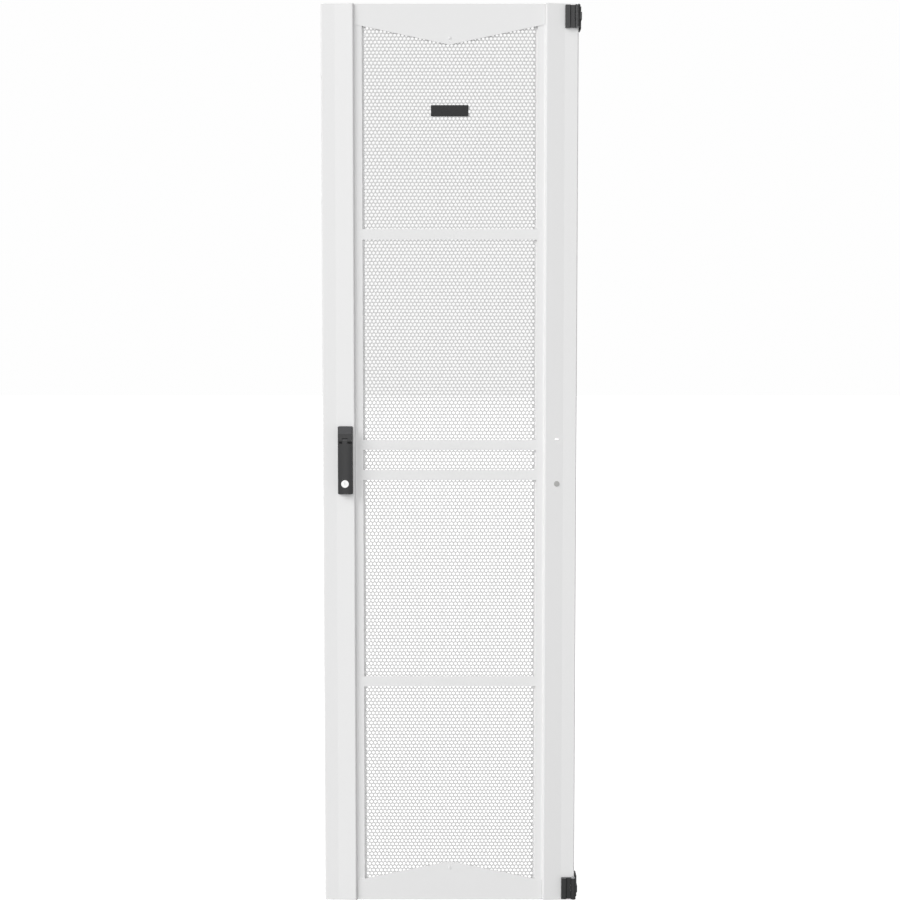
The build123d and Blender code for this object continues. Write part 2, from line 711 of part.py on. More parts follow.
def handle_base():
    """Wedge on the sloping face that the lever lies on, with the spindle's front bearing."""
    middle = (HANDLE_TOP + HANDLE_BOTTOM) / 2
    outline = Pos(HANDLE_X, middle) * RectangleRounded(HANDLE_WIDTH, HANDLE_HEIGHT, HANDLE_CORNER)
    base = facing(outline, -BASE_THICKNESS, FACE_RISE)
    base = chamfer(base.faces().sort_by(Axis.Y)[0].edges(), 1) & before_face()
    base -= bar_y(HANDLE_X, SPINDLE_Z, SPINDLE_RADIUS + FIT, -2 * BASE_THICKNESS, DOOR_DEPTH)
    for z in handle_screw_heights():
        base -= bar_y(HANDLE_X, z, CASE_SCREW_RADIUS + SET_FIT, -CASE_SCREW_GRIP, DOOR_DEPTH)
    return base


def handle_head():
    """Turning head with a sloped top, a fork for the lever and a spindle socket."""
    top = HANDLE_TOP - LEVER_END_INSET
    slope = SPINDLE_Z
    profile = Polygon(
        (LEVER_BACK, top),
        (LEVER_BACK - RUN_GAP - 1, top),
        (LEVER_FRONT, slope),
        (LEVER_FRONT, PIVOT_Z),
        (LEVER_BACK, PIVOT_Z),
        align=None,
    )
    profile += Pos(PIVOT_FRONT, PIVOT_Z) * Circle(KNUCKLE_RADIUS)
    half = LEVER_WIDTH / 2
    head = across(profile, HANDLE_X - half, HANDLE_X + half)
    slot = EYE_WIDTH / 2 + RUN_GAP
    fork = PIVOT_Z + KNUCKLE_RADIUS + RUN_GAP
    head -= block(HANDLE_X - slot, HANDLE_X + slot, LEVER_FRONT - 1, 0, PIVOT_Z - 2 * KNUCKLE_RADIUS, fork)
    head -= bar_x(PIVOT_FRONT, PIVOT_Z, LEVER_PIN_RADIUS + SET_FIT, HANDLE_X - half - 1, HANDLE_X + half + 1)
    head -= bar_y(HANDLE_X, SPINDLE_Z, SPINDLE_RADIUS + SET_FIT, LEVER_BACK - SPINDLE_SOCKET, 0)
    return head


def lever_section():
    """Section of the lever in X and Y, flat behind and crowned in front."""
    half = LEVER_WIDTH / 2
    edge = LEVER_FRONT + LEVER_EDGE_FALL
    with BuildSketch() as section:
        with BuildLine():
            ThreePointArc((-half, edge), (0, LEVER_FRONT), (half, edge))
            Polyline((half, edge), (half, LEVER_BACK), (-half, LEVER_BACK), (-half, edge))
        make_face()
    return Pos(HANDLE_X, 0) * section.sketch


def lever():
    """Grip with a hinge eye, a hollow back and a bore for the lock."""
    low = HANDLE_BOTTOM + LEVER_END_INSET
    shoulder = PIVOT_Z - KNUCKLE_RADIUS - RUN_GAP - 1
    grip = upright(lever_section(), low, shoulder)
    grip = fillet(grip.edges().filter_by(Axis.Y).group_by(Axis.Z)[0], LEVER_CORNER)
    eye = Pos(PIVOT_FRONT, PIVOT_Z) * Circle(KNUCKLE_RADIUS)
    eye += Pos(PIVOT_FRONT, (PIVOT_Z + shoulder) / 2) * Rectangle(2 * KNUCKLE_RADIUS, PIVOT_Z - shoulder)
    grip += across(eye, HANDLE_X - EYE_WIDTH / 2, HANDLE_X + EYE_WIDTH / 2)
    grip -= bar_x(PIVOT_FRONT, PIVOT_Z, LEVER_PIN_RADIUS + FIT, HANDLE_X - EYE_WIDTH, HANDLE_X + EYE_WIDTH)
    grip -= bar_y(HANDLE_X, LOCK_Z, LOCK_RADIUS + SET_FIT, LEVER_FRONT - 1, 0)
    pocket = LEVER_WIDTH / 2 - LEVER_WALL
    low_pocket = LOCK_Z + LOCK_RADIUS + LEVER_WALL
    grip -= block(
        HANDLE_X - pocket, HANDLE_X + pocket,
        LEVER_BACK - LEVER_POCKET_DEPTH, 0,
        low_pocket, shoulder - LEVER_WALL,
    )
    return grip


def lever_pin():
    """Pin that the lever tips out on."""
    half = LEVER_WIDTH / 2
    return bar_x(PIVOT_FRONT, PIVOT_Z, LEVER_PIN_RADIUS, HANDLE_X - half, HANDLE_X + half)


def lock_cylinder():
    """Lock body set in the lever, standing a little proud of it."""
    ring = Circle(LOCK_RADIUS) - Circle(KEY_PLUG_RADIUS + FIT)
    return facing(Pos(HANDLE_X, LOCK_Z) * ring, LEVER_FRONT - LOCK_PROUD, LEVER_BACK)


def key_plug():
    """Turning plug with its key slot."""
    front = LEVER_FRONT - LOCK_PROUD - KEY_PLUG_PROUD
    plug = bar_y(HANDLE_X, LOCK_Z, KEY_PLUG_RADIUS, front, LEVER_BACK)
    slot = Pos(HANDLE_X, LOCK_Z) * Rectangle(KEY_SLOT_WIDTH, KEY_SLOT_LENGTH)
    return plug - facing(slot, front - 1, front + KEY_SLOT_DEPTH)


def spindle():
    """Shaft from the head through the base and the case to the pinion."""
    shaft = bar_y(HANDLE_X, SPINDLE_Z, SPINDLE_RADIUS, LEVER_BACK - SPINDLE_SOCKET, PINION_FRONT)
    square = Pos(HANDLE_X, SPINDLE_Z) * Rectangle(SPINDLE_SQUARE, SPINDLE_SQUARE)
    shaft += facing(square, PINION_FRONT, PINION_REAR)
    end = COVER_REAR + RUN_GAP
    shaft += bar_y(HANDLE_X, SPINDLE_Z, JOURNAL_RADIUS, PINION_REAR, end)
    bore = end - SPINDLE_SCREW_LENGTH
    return shaft - bar_y(HANDLE_X, SPINDLE_Z, SPINDLE_SCREW_RADIUS + SET_FIT, bore, end + 1)


def spindle_washer():
    """Washer that keeps the spindle in the case's cover."""
    ring = Circle(WASHER_RADIUS) - Circle(SPINDLE_SCREW_RADIUS + SET_FIT)
    front = COVER_REAR + RUN_GAP
    return facing(Pos(HANDLE_X, SPINDLE_Z) * ring, front, front + WASHER_THICKNESS)


def spindle_screw():
    """Screw in the end of the spindle."""
    seat = COVER_REAR + RUN_GAP + WASHER_THICKNESS
    front = COVER_REAR + RUN_GAP - SPINDLE_SCREW_LENGTH
    screw = bar_y(HANDLE_X, SPINDLE_Z, SPINDLE_SCREW_RADIUS, front, seat)
    return screw + bar_y(HANDLE_X, SPINDLE_Z, SPINDLE_SCREW_HEAD, seat, seat + SPINDLE_SCREW_HEAD_HEIGHT)


# Rack-and-pinion drive of the latch rods

def tooth_flank(radius):
    """Half angle of a pinion tooth at a radius, from the involute of its base circle."""
    base = PITCH_RADIUS * math.cos(PRESSURE_ANGLE)
    angle = math.acos(min(1.0, base / radius))
    at_pitch = (TOOTH_PITCH / 2 - BACKLASH) / (2 * PITCH_RADIUS)
    return at_pitch + math.tan(PRESSURE_ANGLE) - PRESSURE_ANGLE - math.tan(angle) + angle


def pinion():
    """Pinion with involute teeth and a square bore."""
    base = PITCH_RADIUS * math.cos(PRESSURE_ANGLE)
    root = PITCH_RADIUS - DEDENDUM
    tip = PITCH_RADIUS + ADDENDUM
    radii = [root] + [base + (tip - base) * i / FLANK_STEPS for i in range(FLANK_STEPS + 1)]
    points = []
    for tooth in range(TEETH):
        middle = 2 * math.pi * tooth / TEETH
        rising = [(r, middle - tooth_flank(max(r, base))) for r in radii]
        falling = [(r, middle + tooth_flank(max(r, base))) for r in reversed(radii)]
        points += [(r * math.cos(a), r * math.sin(a)) for r, a in rising + falling]
    outline = Polygon(*points, align=None) - Rectangle(SPINDLE_SQUARE + SET_FIT, SPINDLE_SQUARE + SET_FIT)
    return facing(Pos(HANDLE_X, SPINDLE_Z) * outline, PINION_FRONT, PINION_REAR)


def upper_rack():
    """Toothed bar left of the pinion, half lapped for the upper rod."""
    slope = math.tan(PRESSURE_ANGLE)
    half_pitch = (TOOTH_PITCH / 2 - BACKLASH) / 2
    half_tip = half_pitch - ADDENDUM * slope
    half_root = half_pitch + DEDENDUM * slope
    low = -RACK_TEETH_BEHIND * TOOTH_PITCH - RACK_END
    high = RACK_TEETH_AHEAD * TOOTH_PITCH + RACK_END
    outline = Pos(-ROD_OFFSET, (low + high) / 2) * Rectangle(ROD_WIDTH, high - low)
    for i in range(-RACK_TEETH_BEHIND, RACK_TEETH_AHEAD):
        z = (i + 0.5) * TOOTH_PITCH
        outline += Polygon(
            (-RACK_ROOT, z - half_root),
            (-PITCH_RADIUS + ADDENDUM, z - half_tip),
            (-PITCH_RADIUS + ADDENDUM, z + half_tip),
            (-RACK_ROOT, z + half_root),
            align=None,
        )
    rack = facing(Pos(HANDLE_X, SPINDLE_Z) * outline, PINION_FRONT, PINION_REAR)
    left = HANDLE_X - RACK_BACK
    right = HANDLE_X - RACK_ROOT
    rack += block(left, right, ROD_FRONT, ROD_MIDDLE, SPINDLE_Z + high, lap_low() + LAP_LENGTH)
    middle = lap_low() + LAP_LENGTH / 2
    return rack - bar_y(HANDLE_X - ROD_OFFSET, middle, LAP_RIVET_RADIUS + SET_FIT, 0, DOOR_DEPTH)


def lap_low():
    """Height at which the upper rod's lap on its rack starts."""
    return SPINDLE_Z + CASE_HALF_HEIGHT + PITCH_RADIUS * math.pi / 2 + 2 * RUN_GAP


def rod_from(low, tip):
    """Upper rod between two heights, lapped at its foot and forked at its tip."""
    left = HANDLE_X - RACK_BACK
    right = HANDLE_X - RACK_ROOT
    rod = block(left, right, ROD_FRONT, ROD_REAR, low, tip)
    rod -= block(left, right, ROD_FRONT, ROD_MIDDLE, low, low + LAP_LENGTH + RUN_GAP)
    middle = HANDLE_X - ROD_OFFSET
    rod -= bar_y(middle, low + LAP_LENGTH / 2, LAP_RIVET_RADIUS + SET_FIT, 0, DOOR_DEPTH)
    rod -= block(middle - FORK_SLOT / 2, middle + FORK_SLOT / 2, 0, DOOR_DEPTH, tip - FORK_DEPTH, tip + 1)
    return rod - bar_x(ROD_MIDDLE, tip - ROLLER_FROM_TIP, ROLLER_PIN_RADIUS + SET_FIT, left - 1, right + 1)


def lap_rivet():
    """Rivet through the lap of the upper rod and its rack."""
    x = HANDLE_X - ROD_OFFSET
    z = lap_low() + LAP_LENGTH / 2
    rivet = bar_y(x, z, LAP_RIVET_RADIUS, ROD_FRONT, ROD_REAR)
    rivet += bar_y(x, z, LAP_RIVET_HEAD, ROD_FRONT - LAP_RIVET_HEAD_HEIGHT, ROD_FRONT)
    return rivet + bar_y(x, z, LAP_RIVET_HEAD, ROD_REAR, ROD_REAR + LAP_RIVET_HEAD_HEIGHT)


def roller_pin(tip):
    """Pin across the fork of the upper rod."""
    left = HANDLE_X - RACK_BACK
    right = HANDLE_X - RACK_ROOT
    return bar_x(ROD_MIDDLE, tip - ROLLER_FROM_TIP, ROLLER_PIN_RADIUS, left, right)


def roller(tip):
    """Roller in the fork of the upper rod."""
    middle = HANDLE_X - ROD_OFFSET
    ring = Circle(ROLLER_RADIUS) - Circle(ROLLER_PIN_RADIUS + FIT)
    place = Pos(ROD_MIDDLE, tip - ROLLER_FROM_TIP)
    return across(place * ring, middle - ROLLER_WIDTH / 2, middle + ROLLER_WIDTH / 2)


def turn_over(part):
    """The same piece turned half round about the spindle, for the lower rod."""
    return Pos(HANDLE_X, 0, SPINDLE_Z) * Rot(0, 180, 0) * Pos(-HANDLE_X, 0, -SPINDLE_Z) * part


def gear_case():
    """Channel that the racks run in, with bosses cut to the slope of the stile's inside."""
    low = SPINDLE_Z - CASE_HALF_HEIGHT
    high = SPINDLE_Z + CASE_HALF_HEIGHT
    case = block(
        HANDLE_X - CASE_HALF_WIDTH, HANDLE_X + CASE_HALF_WIDTH,
        CASE_FRONT, COVER_FRONT, low, high,
    )
    case -= block(
        HANDLE_X - CASE_INSIDE, HANDLE_X + CASE_INSIDE,
        CASE_FRONT + CASE_FLOOR, COVER_FRONT, low, high,
    )
    case += bar_y(HANDLE_X, SPINDLE_Z, CASE_BOSS, -FACE_RISE, CASE_FRONT)
    for z in case_screw_heights():
        case += bar_y(HANDLE_X, z, CASE_COLUMN, -FACE_RISE, COVER_FRONT)
    for z in case_screw_heights():
        case -= bar_y(HANDLE_X, z, CASE_SCREW_RADIUS + FIT, -FACE_RISE, DOOR_DEPTH)
    case -= bar_y(HANDLE_X, SPINDLE_Z, SPINDLE_RADIUS + FIT, -FACE_RISE, DOOR_DEPTH)
    return case - before_face(SHEET)


def gear_cover():
    """Rear cover of the case, with the spindle's rear bearing."""
    outline = RectangleRounded(2 * CASE_HALF_WIDTH, 2 * CASE_HALF_HEIGHT, CASE_WALL)
    cover = facing(Pos(HANDLE_X, SPINDLE_Z) * outline, COVER_FRONT, COVER_REAR)
    cover -= bar_y(HANDLE_X, SPINDLE_Z, JOURNAL_RADIUS + FIT, 0, DOOR_DEPTH)
    for z in case_screw_heights():
        cover -= bar_y(HANDLE_X, z, CASE_SCREW_RADIUS + FIT, 0, DOOR_DEPTH)
    return cover


def handle_screws():
    """Screws from inside: one that ends in the case, one through it and one through the clamp washer."""
    behind_face = face_depth(-HANDLE_X) + 2 * SHEET
    runs = (
        (case_screw_heights()[0], behind_face, COVER_REAR),
        (case_screw_heights()[1], -CASE_SCREW_GRIP, COVER_REAR),
        (handle_screw_heights()[1], -CASE_SCREW_GRIP, SHEET + CLAMP_THICKNESS),
    )
    screws = []
    for z, tip, seat in runs:
        screw = bar_y(HANDLE_X, z, CASE_SCREW_RADIUS, tip, seat)
        screw += bar_y(HANDLE_X, z, CASE_SCREW_HEAD, seat, seat + CASE_SCREW_HEAD_HEIGHT)
        screws.append(screw)
    return screws


def clamp_washer():
    """Broad tapered washer under the lowest handle screw."""
    middle = Pos(HANDLE_X, handle_screw_heights()[1])
    ring = middle * Circle(CLAMP_RADIUS) - middle * Circle(CASE_SCREW_RADIUS + FIT)
    return facing(ring, -FACE_RISE, SHEET + CLAMP_THICKNESS) - before_face(SHEET)


# Rod guides

def upper_guide_places():
    """Heights of the upper rod's guides."""
    return (lap_low() + LAP_LENGTH + GUIDE_PAST_LAP, DOOR_HEIGHT - GUIDE_FROM_END)


def lower_guide_places():
    """Heights of the lower rod's guides, the first one below the handle's clamp washer."""
    washer_low = handle_screw_heights()[1] - CLAMP_RADIUS
    return (washer_low - GUIDE_BELOW_CLAMP - GUIDE_HEIGHT / 2, GUIDE_FROM_END)


def guide_rear():
    """Depth of a guide's rear face."""
    return ROD_REAR + GUIDE_CLEARANCE + GUIDE_WALL


def guide_window(middle):
    """Window that a rod slides in, drawn in X and Y."""
    place = Pos(middle, ROD_MIDDLE)
    return place * Rectangle(ROD_WIDTH + 2 * GUIDE_CLEARANCE, ROD_THICKNESS + 2 * GUIDE_CLEARANCE)


def upper_guide(z):
    """Guide of the upper rod, shaped to the inside of the face and edge strip."""
    middle = HANDLE_X - ROD_OFFSET
    left = middle - ROD_WIDTH / 2 - GUIDE_CLEARANCE - GUIDE_WALL
    right = middle + ROD_WIDTH / 2 + GUIDE_CLEARANCE + GUIDE_PAD
    low = z - GUIDE_HEIGHT / 2
    guide = block(left, right, -FACE_RISE, guide_rear(), low, low + GUIDE_HEIGHT)
    guide -= upright(guide_window(middle), low, low + GUIDE_HEIGHT)
    guide -= bar_y(upper_stud_x(), z, STUD_RADIUS + FIT, -FACE_RISE, DOOR_DEPTH)
    return guide - before_face(SHEET)


def upper_stud_x():
    """Place across the door of the upper guides' studs."""
    return HANDLE_X - ROD_OFFSET + ROD_WIDTH / 2 + GUIDE_CLEARANCE + GUIDE_PAD / 2


def lower_guide(z):
    """Guide of the lower rod, standing on the face and reaching past the step."""
    middle = HANDLE_X + ROD_OFFSET
    right = middle + ROD_WIDTH / 2 + GUIDE_CLEARANCE + GUIDE_WALL
    left = middle - ROD_WIDTH / 2 - GUIDE_CLEARANCE - GUIDE_PAD
    foot = -STEP_X - OUTSIDE_BEND
    low = z - GUIDE_HEIGHT / 2
    guide = block(left, foot, -FACE_RISE, guide_rear(), low, low + GUIDE_HEIGHT)
    guide += block(foot, right, CASE_FRONT, guide_rear(), low, low + GUIDE_HEIGHT)
    guide -= upright(guide_window(middle), low, low + GUIDE_HEIGHT)
    guide -= bar_y(lower_stud_x(), z, STUD_RADIUS + FIT, -FACE_RISE, DOOR_DEPTH)
    return guide - before_face(SHEET)


def lower_stud_x():
    """Place across the door of the lower guides' studs."""
    return HANDLE_X + ROD_OFFSET - ROD_WIDTH / 2 - GUIDE_CLEARANCE - GUIDE_PAD / 2


def guide_stud_places():
    """Places of the four studs welded behind the handle stile."""
    uppers = [(upper_stud_x(), z) for z in upper_guide_places()]
    return uppers + [(lower_stud_x(), z) for z in lower_guide_places()]


def guide_studs():
    """Studs welded to the inside of the handle stile."""
    end = guide_rear() + NUT_HEIGHT + STUD_PAST_NUT
    studs = [bar_y(x, z, STUD_RADIUS, -FACE_RISE, end) for x, z in guide_stud_places()]
    return [stud - before_face(SHEET) for stud in studs]


def guide_nuts():
    """Nuts that hold the rod guides on their studs."""
    nuts = []
    for x, z in guide_stud_places():
        outline = hexagon(x, z, NUT_ACROSS_FLATS) - Pos(x, z) * Circle(STUD_RADIUS + SET_FIT)
        nuts.append(facing(outline, guide_rear(), guide_rear() + NUT_HEIGHT))
    return nuts


# Small pieces

def plug_place():
    """Place of the unused lock hole and its plug."""
    return on_face(FACE_HALF - PLUG_FROM_EDGE, MIDDLE - PLUG_BELOW_MIDDLE)


def blanking_plug():
    """Bevelled plug with a hollow stem, in the unused lock hole."""
    head = bevel_front(bar_y(0, 0, PLUG_HEAD_RADIUS, -PLUG_HEAD_HEIGHT, 0), PLUG_HEAD_HEIGHT * 0.6)
    plug = head + bar_y(0, 0, PLUG_STEM_RADIUS, 0, PLUG_STEM_LENGTH)
    plug += bar_y(0, 0, PLUG_STEM_RADIUS + PLUG_WALL / 2, SHEET, SHEET + PLUG_WALL)
    plug -= bar_y(0, 0, PLUG_STEM_RADIUS - PLUG_WALL, 0, PLUG_STEM_LENGTH + 1)
    return plug_place() * plug


def buffer_x():
    """Place of the buffers, at the middle of the handle stile's lip."""
    return -REAR_HALF + LIP_WIDTH / 2


def buffer_heights():
    """Heights of the two buffers."""
    return (BUFFER_FROM_END, DOOR_HEIGHT - BUFFER_FROM_END)


def door_buffers():
    """Rubber buffers that the closed door rests on, pushed into the lip."""
    buffers = []
    for z in buffer_heights():
        pad = bar_y(buffer_x(), z, BUFFER_RADIUS, DOOR_DEPTH, DOOR_DEPTH + BUFFER_HEIGHT)
        rim = pad.edges().filter_by(GeomType.CIRCLE).group_by(Axis.Y)[-1]
        pad = chamfer(rim, BUFFER_HEIGHT / 4)
        inside = DOOR_DEPTH - SHEET
        stem = bar_y(buffer_x(), z, BUFFER_STEM_RADIUS, inside - SHEET, DOOR_DEPTH)
        stem += bar_y(buffer_x(), z, BUFFER_STEM_RADIUS + SHEET / 2, inside - SHEET, inside)
        buffers.append(pad + stem)
    return buffers


def earth_stud():
    """Earth stud with a collar, welded to the inside of the hinge stile."""
    x = FACE_HALF - PLUG_FROM_EDGE
    z = EARTH_STUD_FROM_END
    stud = bar_y(x, z, EARTH_STUD_RADIUS, -FACE_RISE, SHEET + EARTH_STUD_LENGTH)
    stud += bar_y(x, z, EARTH_COLLAR_RADIUS, -FACE_RISE, earth_seat())
    return stud - flip_x(before_face(SHEET))


def earth_seat():
    """Depth of the collar that the earth washer lies on."""
    return SHEET + EARTH_COLLAR_HEIGHT


def earth_washer():
    """Washer on the earth stud."""
    ring = Circle(EARTH_WASHER_RADIUS) - Circle(EARTH_STUD_RADIUS + SET_FIT)
    place = Pos(FACE_HALF - PLUG_FROM_EDGE, EARTH_STUD_FROM_END)
    return facing(place * ring, earth_seat(), earth_seat() + EARTH_WASHER_THICKNESS)


def earth_nut():
    """Nut on the earth stud."""
    x = FACE_HALF - PLUG_FROM_EDGE
    front = earth_seat() + EARTH_WASHER_THICKNESS
    outline = hexagon(x, EARTH_STUD_FROM_END, EARTH_NUT_FLATS)
    outline -= Pos(x, EARTH_STUD_FROM_END) * Circle(EARTH_STUD_RADIUS + SET_FIT)
    return facing(outline, front, front + EARTH_NUT_HEIGHT)


def pieces():
    """Every piece by the name of its node."""
    upper_tip = DOOR_HEIGHT - ROD_END_GAP
    lower_tip = 2 * SPINDLE_Z - ROD_END_GAP
    parts = {
        "upper_frame_hinge": frame_hinge(UPPER_HINGE),
        "lower_frame_hinge": frame_hinge(LOWER_HINGE),
        "upper_hinge_pin": hinge_pin(UPPER_HINGE),
        "lower_hinge_pin": hinge_pin(LOWER_HINGE),
        "top_rail": top_rail(),
        "bottom_rail": flip_z(top_rail()),
        "top_v_plate": top_v_plate(),
        "bottom_v_plate": flip_z(top_v_plate()),
        "apex_rivets": [apex_rivet(), flip_z(apex_rivet())],
        "perforated_sheet": perforated_sheet(),
        "nameplate": nameplate(),
        "nameplate_push_nuts": push_nuts(),
        "upper_door_hinge": door_hinge(UPPER_HINGE),
        "lower_door_hinge": door_hinge(LOWER_HINGE),
        "hinge_screws": hinge_screws(),
        "blanking_plug": blanking_plug(),
        "handle_base": handle_base(),
        "handle_head": handle_head(),
        "lever": lever(),
        "lever_pin": lever_pin(),
        "lock_cylinder": lock_cylinder(),
        "key_plug": key_plug(),
        "spindle": spindle(),
        "spindle_washer": spindle_washer(),
        "spindle_screw": spindle_screw(),
        "pinion": pinion(),
        "gear_case": gear_case(),
        "gear_cover": gear_cover(),
        "handle_screws": handle_screws(),
        "clamp_washer": clamp_washer(),
        "upper_rack": upper_rack(),
        "lower_rack": turn_over(upper_rack()),
        "upper_rod": rod_from(lap_low(), upper_tip),
        "lower_rod": turn_over(rod_from(lap_low(), lower_tip)),
        "upper_lap_rivet": lap_rivet(),
        "lower_lap_rivet": turn_over(lap_rivet()),
        "upper_roller_pin": roller_pin(upper_tip),
        "lower_roller_pin": turn_over(roller_pin(lower_tip)),
        "upper_roller": roller(upper_tip),
        "lower_roller": turn_over(roller(lower_tip)),
        "guide_studs": guide_studs(),
        "guide_nuts": guide_nuts(),
        "door_buffers": door_buffers(),
        "earth_stud": earth_stud(),
        "earth_washer": earth_washer(),
        "earth_nut": earth_nut(),
    }
    parts |= stile_strips("left", left_stile())
    parts |= stile_strips("right", right_stile())
    for number, offset_z in enumerate(reversed(CROSSBAR_OFFSETS), start=1):
        parts[f"crossbar_{number}"] = crossbar(offset_z)
    for number, z in enumerate(upper_guide_places(), start=1):
        parts[f"upper_rod_guide_{number}"] = upper_guide(z)
    for number, z in enumerate(lower_guide_places(), start=1):
        parts[f"lower_rod_guide_{number}"] = lower_guide(z)
    return parts


def write_pieces():
    """Write each piece in the row's frame, whose origin is at the lower cabinet screws."""
    os.makedirs("parts", exist_ok=True)
    to_row = Pos(-FRAME_SCREW_X, -FLANGE_REAR, -LOWER_HINGE)
    for name, solid in pieces().items():
        solids = solid if isinstance(solid, list) else [solid]
        placed = [to_row * one for one in solids]
        whole = placed[0] if len(placed) == 1 else Compound(children=placed)
        export_step(whole, f"parts/{name}.step")


write_pieces()
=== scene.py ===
"""Looks of a perforated rack door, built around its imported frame.

Lengths are in metres in the frame's own axes: X across the door, Y from its front to
the cabinet and Z up. Pieces that the frame already shapes rightly only get a finish.
"""
import logging
import math
from collections.abc import Callable, Iterable
from dataclasses import dataclass
from enum import Enum

import bpy
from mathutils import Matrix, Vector


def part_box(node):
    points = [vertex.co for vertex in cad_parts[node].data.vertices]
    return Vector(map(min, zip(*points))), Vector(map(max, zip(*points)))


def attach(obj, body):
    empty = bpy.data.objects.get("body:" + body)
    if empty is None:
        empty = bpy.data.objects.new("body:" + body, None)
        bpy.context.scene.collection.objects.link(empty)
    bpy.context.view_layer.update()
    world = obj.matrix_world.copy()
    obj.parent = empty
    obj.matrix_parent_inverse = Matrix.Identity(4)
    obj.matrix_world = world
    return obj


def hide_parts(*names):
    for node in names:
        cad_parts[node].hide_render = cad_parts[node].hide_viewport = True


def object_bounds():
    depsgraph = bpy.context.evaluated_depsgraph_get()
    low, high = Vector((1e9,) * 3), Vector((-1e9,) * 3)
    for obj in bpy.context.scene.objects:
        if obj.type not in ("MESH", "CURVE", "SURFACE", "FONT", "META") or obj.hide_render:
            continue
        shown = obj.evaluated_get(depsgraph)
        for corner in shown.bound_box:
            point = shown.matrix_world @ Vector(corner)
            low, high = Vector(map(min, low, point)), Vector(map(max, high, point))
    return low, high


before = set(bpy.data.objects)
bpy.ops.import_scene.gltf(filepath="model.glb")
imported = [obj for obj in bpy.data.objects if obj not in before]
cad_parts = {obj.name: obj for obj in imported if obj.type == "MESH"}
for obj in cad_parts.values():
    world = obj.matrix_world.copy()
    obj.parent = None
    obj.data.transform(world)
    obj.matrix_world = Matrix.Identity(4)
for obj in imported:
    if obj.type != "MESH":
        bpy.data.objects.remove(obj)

LOG = logging.getLogger("rack_door")
CAD_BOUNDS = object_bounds()
PHOTO_SIDE = 900
MM = 0.001

Point = tuple[float, float]
Place = tuple[float, float, float]
Colour = tuple[float, float, float]


class Slot(Enum):
    """Material slots of the record."""

    WHITE = "white_powder_coat"
    CASTING = "black_cast_metal"
    PLASTIC = "black_plastic"
    ZINC = "zinc_plated_steel"
    LOCK = "bright_lock_metal"
    NYLON = "grey_nylon"
    RUBBER = "black_rubber"


# Shared shader effects

class EffectGroup:
    """A shader node group with named inputs and outputs, built once and reused."""

    label = ""
    inputs: tuple[tuple[str, str, float], ...] = ()
    outputs: tuple[tuple[str, str], ...] = ()

    def __init__(self) -> None:
        """Build the group's sockets and its nodes."""
        self.tree = bpy.data.node_groups.new(self.label, "ShaderNodeTree")
        for name, kind, value in self.inputs:
            socket = self.tree.interface.new_socket(name, in_out="INPUT", socket_type=kind)
            socket.default_value = value
        for name, kind in self.outputs:
            self.tree.interface.new_socket(name, in_out="OUTPUT", socket_type=kind)
        self.given = self.tree.nodes.new("NodeGroupInput").outputs
        self.result = self.tree.nodes.new("NodeGroupOutput").inputs
        self.fill()

    def node(self, kind: str, **values: object) -> bpy.types.Node:
        """Add a node and set its properties.

        Args:
            kind: Blender's type name of the node.
            **values: Properties to set on it.

        Returns:
            The new node.
        """
        made = self.tree.nodes.new(kind)
        for name, value in values.items():
            setattr(made, name, value)
        return made

    def link(self, source: bpy.types.NodeSocket, target: bpy.types.NodeSocket) -> None:
        """Join two sockets of the group."""
        self.tree.links.new(source, target)

    def fill(self) -> None:
        """Add the nodes of the effect."""
        raise NotImplementedError

    def place(self, material: bpy.types.Material, **values: float) -> bpy.types.Node:
        """Put the group into a material with its own values.

        Args:
            material: The material that gets the effect.
            **values: Input values, with the socket's name in lower case.

        Returns:
            The group's node in that material.
        """
        made = material.node_tree.nodes.new("ShaderNodeGroup")
        made.node_tree = self.tree
        for name, value in values.items():
            made.inputs[name.replace("_", " ").capitalize()].default_value = value
        return made


class SurfaceGrain(EffectGroup):
    """Fine relief of a sprayed, cast or moulded skin, with a slower ripple below it."""

    label = "surface_grain"
    inputs = (
        ("Grain", "NodeSocketFloat", 800.0),
        ("Height", "NodeSocketFloat", 0.00002),
        ("Ripple", "NodeSocketFloat", 0.4),
    )
    outputs = (("Normal", "NodeSocketVector"),)

    FINE_DETAIL = 2.0
    SLOW_DETAIL = 1.0
    SLOW_SHARE = 0.18

    def fill(self) -> None:
        """Mix two noises into one height and turn it into a normal."""
        place = self.node("ShaderNodeTexCoord")
        fine = self.node("ShaderNodeTexNoise")
        slow = self.node("ShaderNodeTexNoise")
        slower = self.node("ShaderNodeMath", operation="MULTIPLY")
        slower.inputs[1].default_value = self.SLOW_SHARE
        self.link(place.outputs["Object"], fine.inputs["Vector"])
        self.link(place.outputs["Object"], slow.inputs["Vector"])
        self.link(self.given["Grain"], fine.inputs["Scale"])
        self.link(self.given["Grain"], slower.inputs[0])
        self.link(slower.outputs[0], slow.inputs["Scale"])
        fine.inputs["Detail"].default_value = self.FINE_DETAIL
        slow.inputs["Detail"].default_value = self.SLOW_DETAIL
        height = self.node("ShaderNodeMath", operation="MULTIPLY_ADD")
        self.link(slow.outputs["Fac"], height.inputs[0])
        self.link(self.given["Ripple"], height.inputs[1])
        self.link(fine.outputs["Fac"], height.inputs[2])
        bump = self.node("ShaderNodeBump")
        self.link(height.outputs[0], bump.inputs["Height"])
        self.link(self.given["Height"], bump.inputs["Distance"])
        self.link(bump.outputs["Normal"], self.result["Normal"])


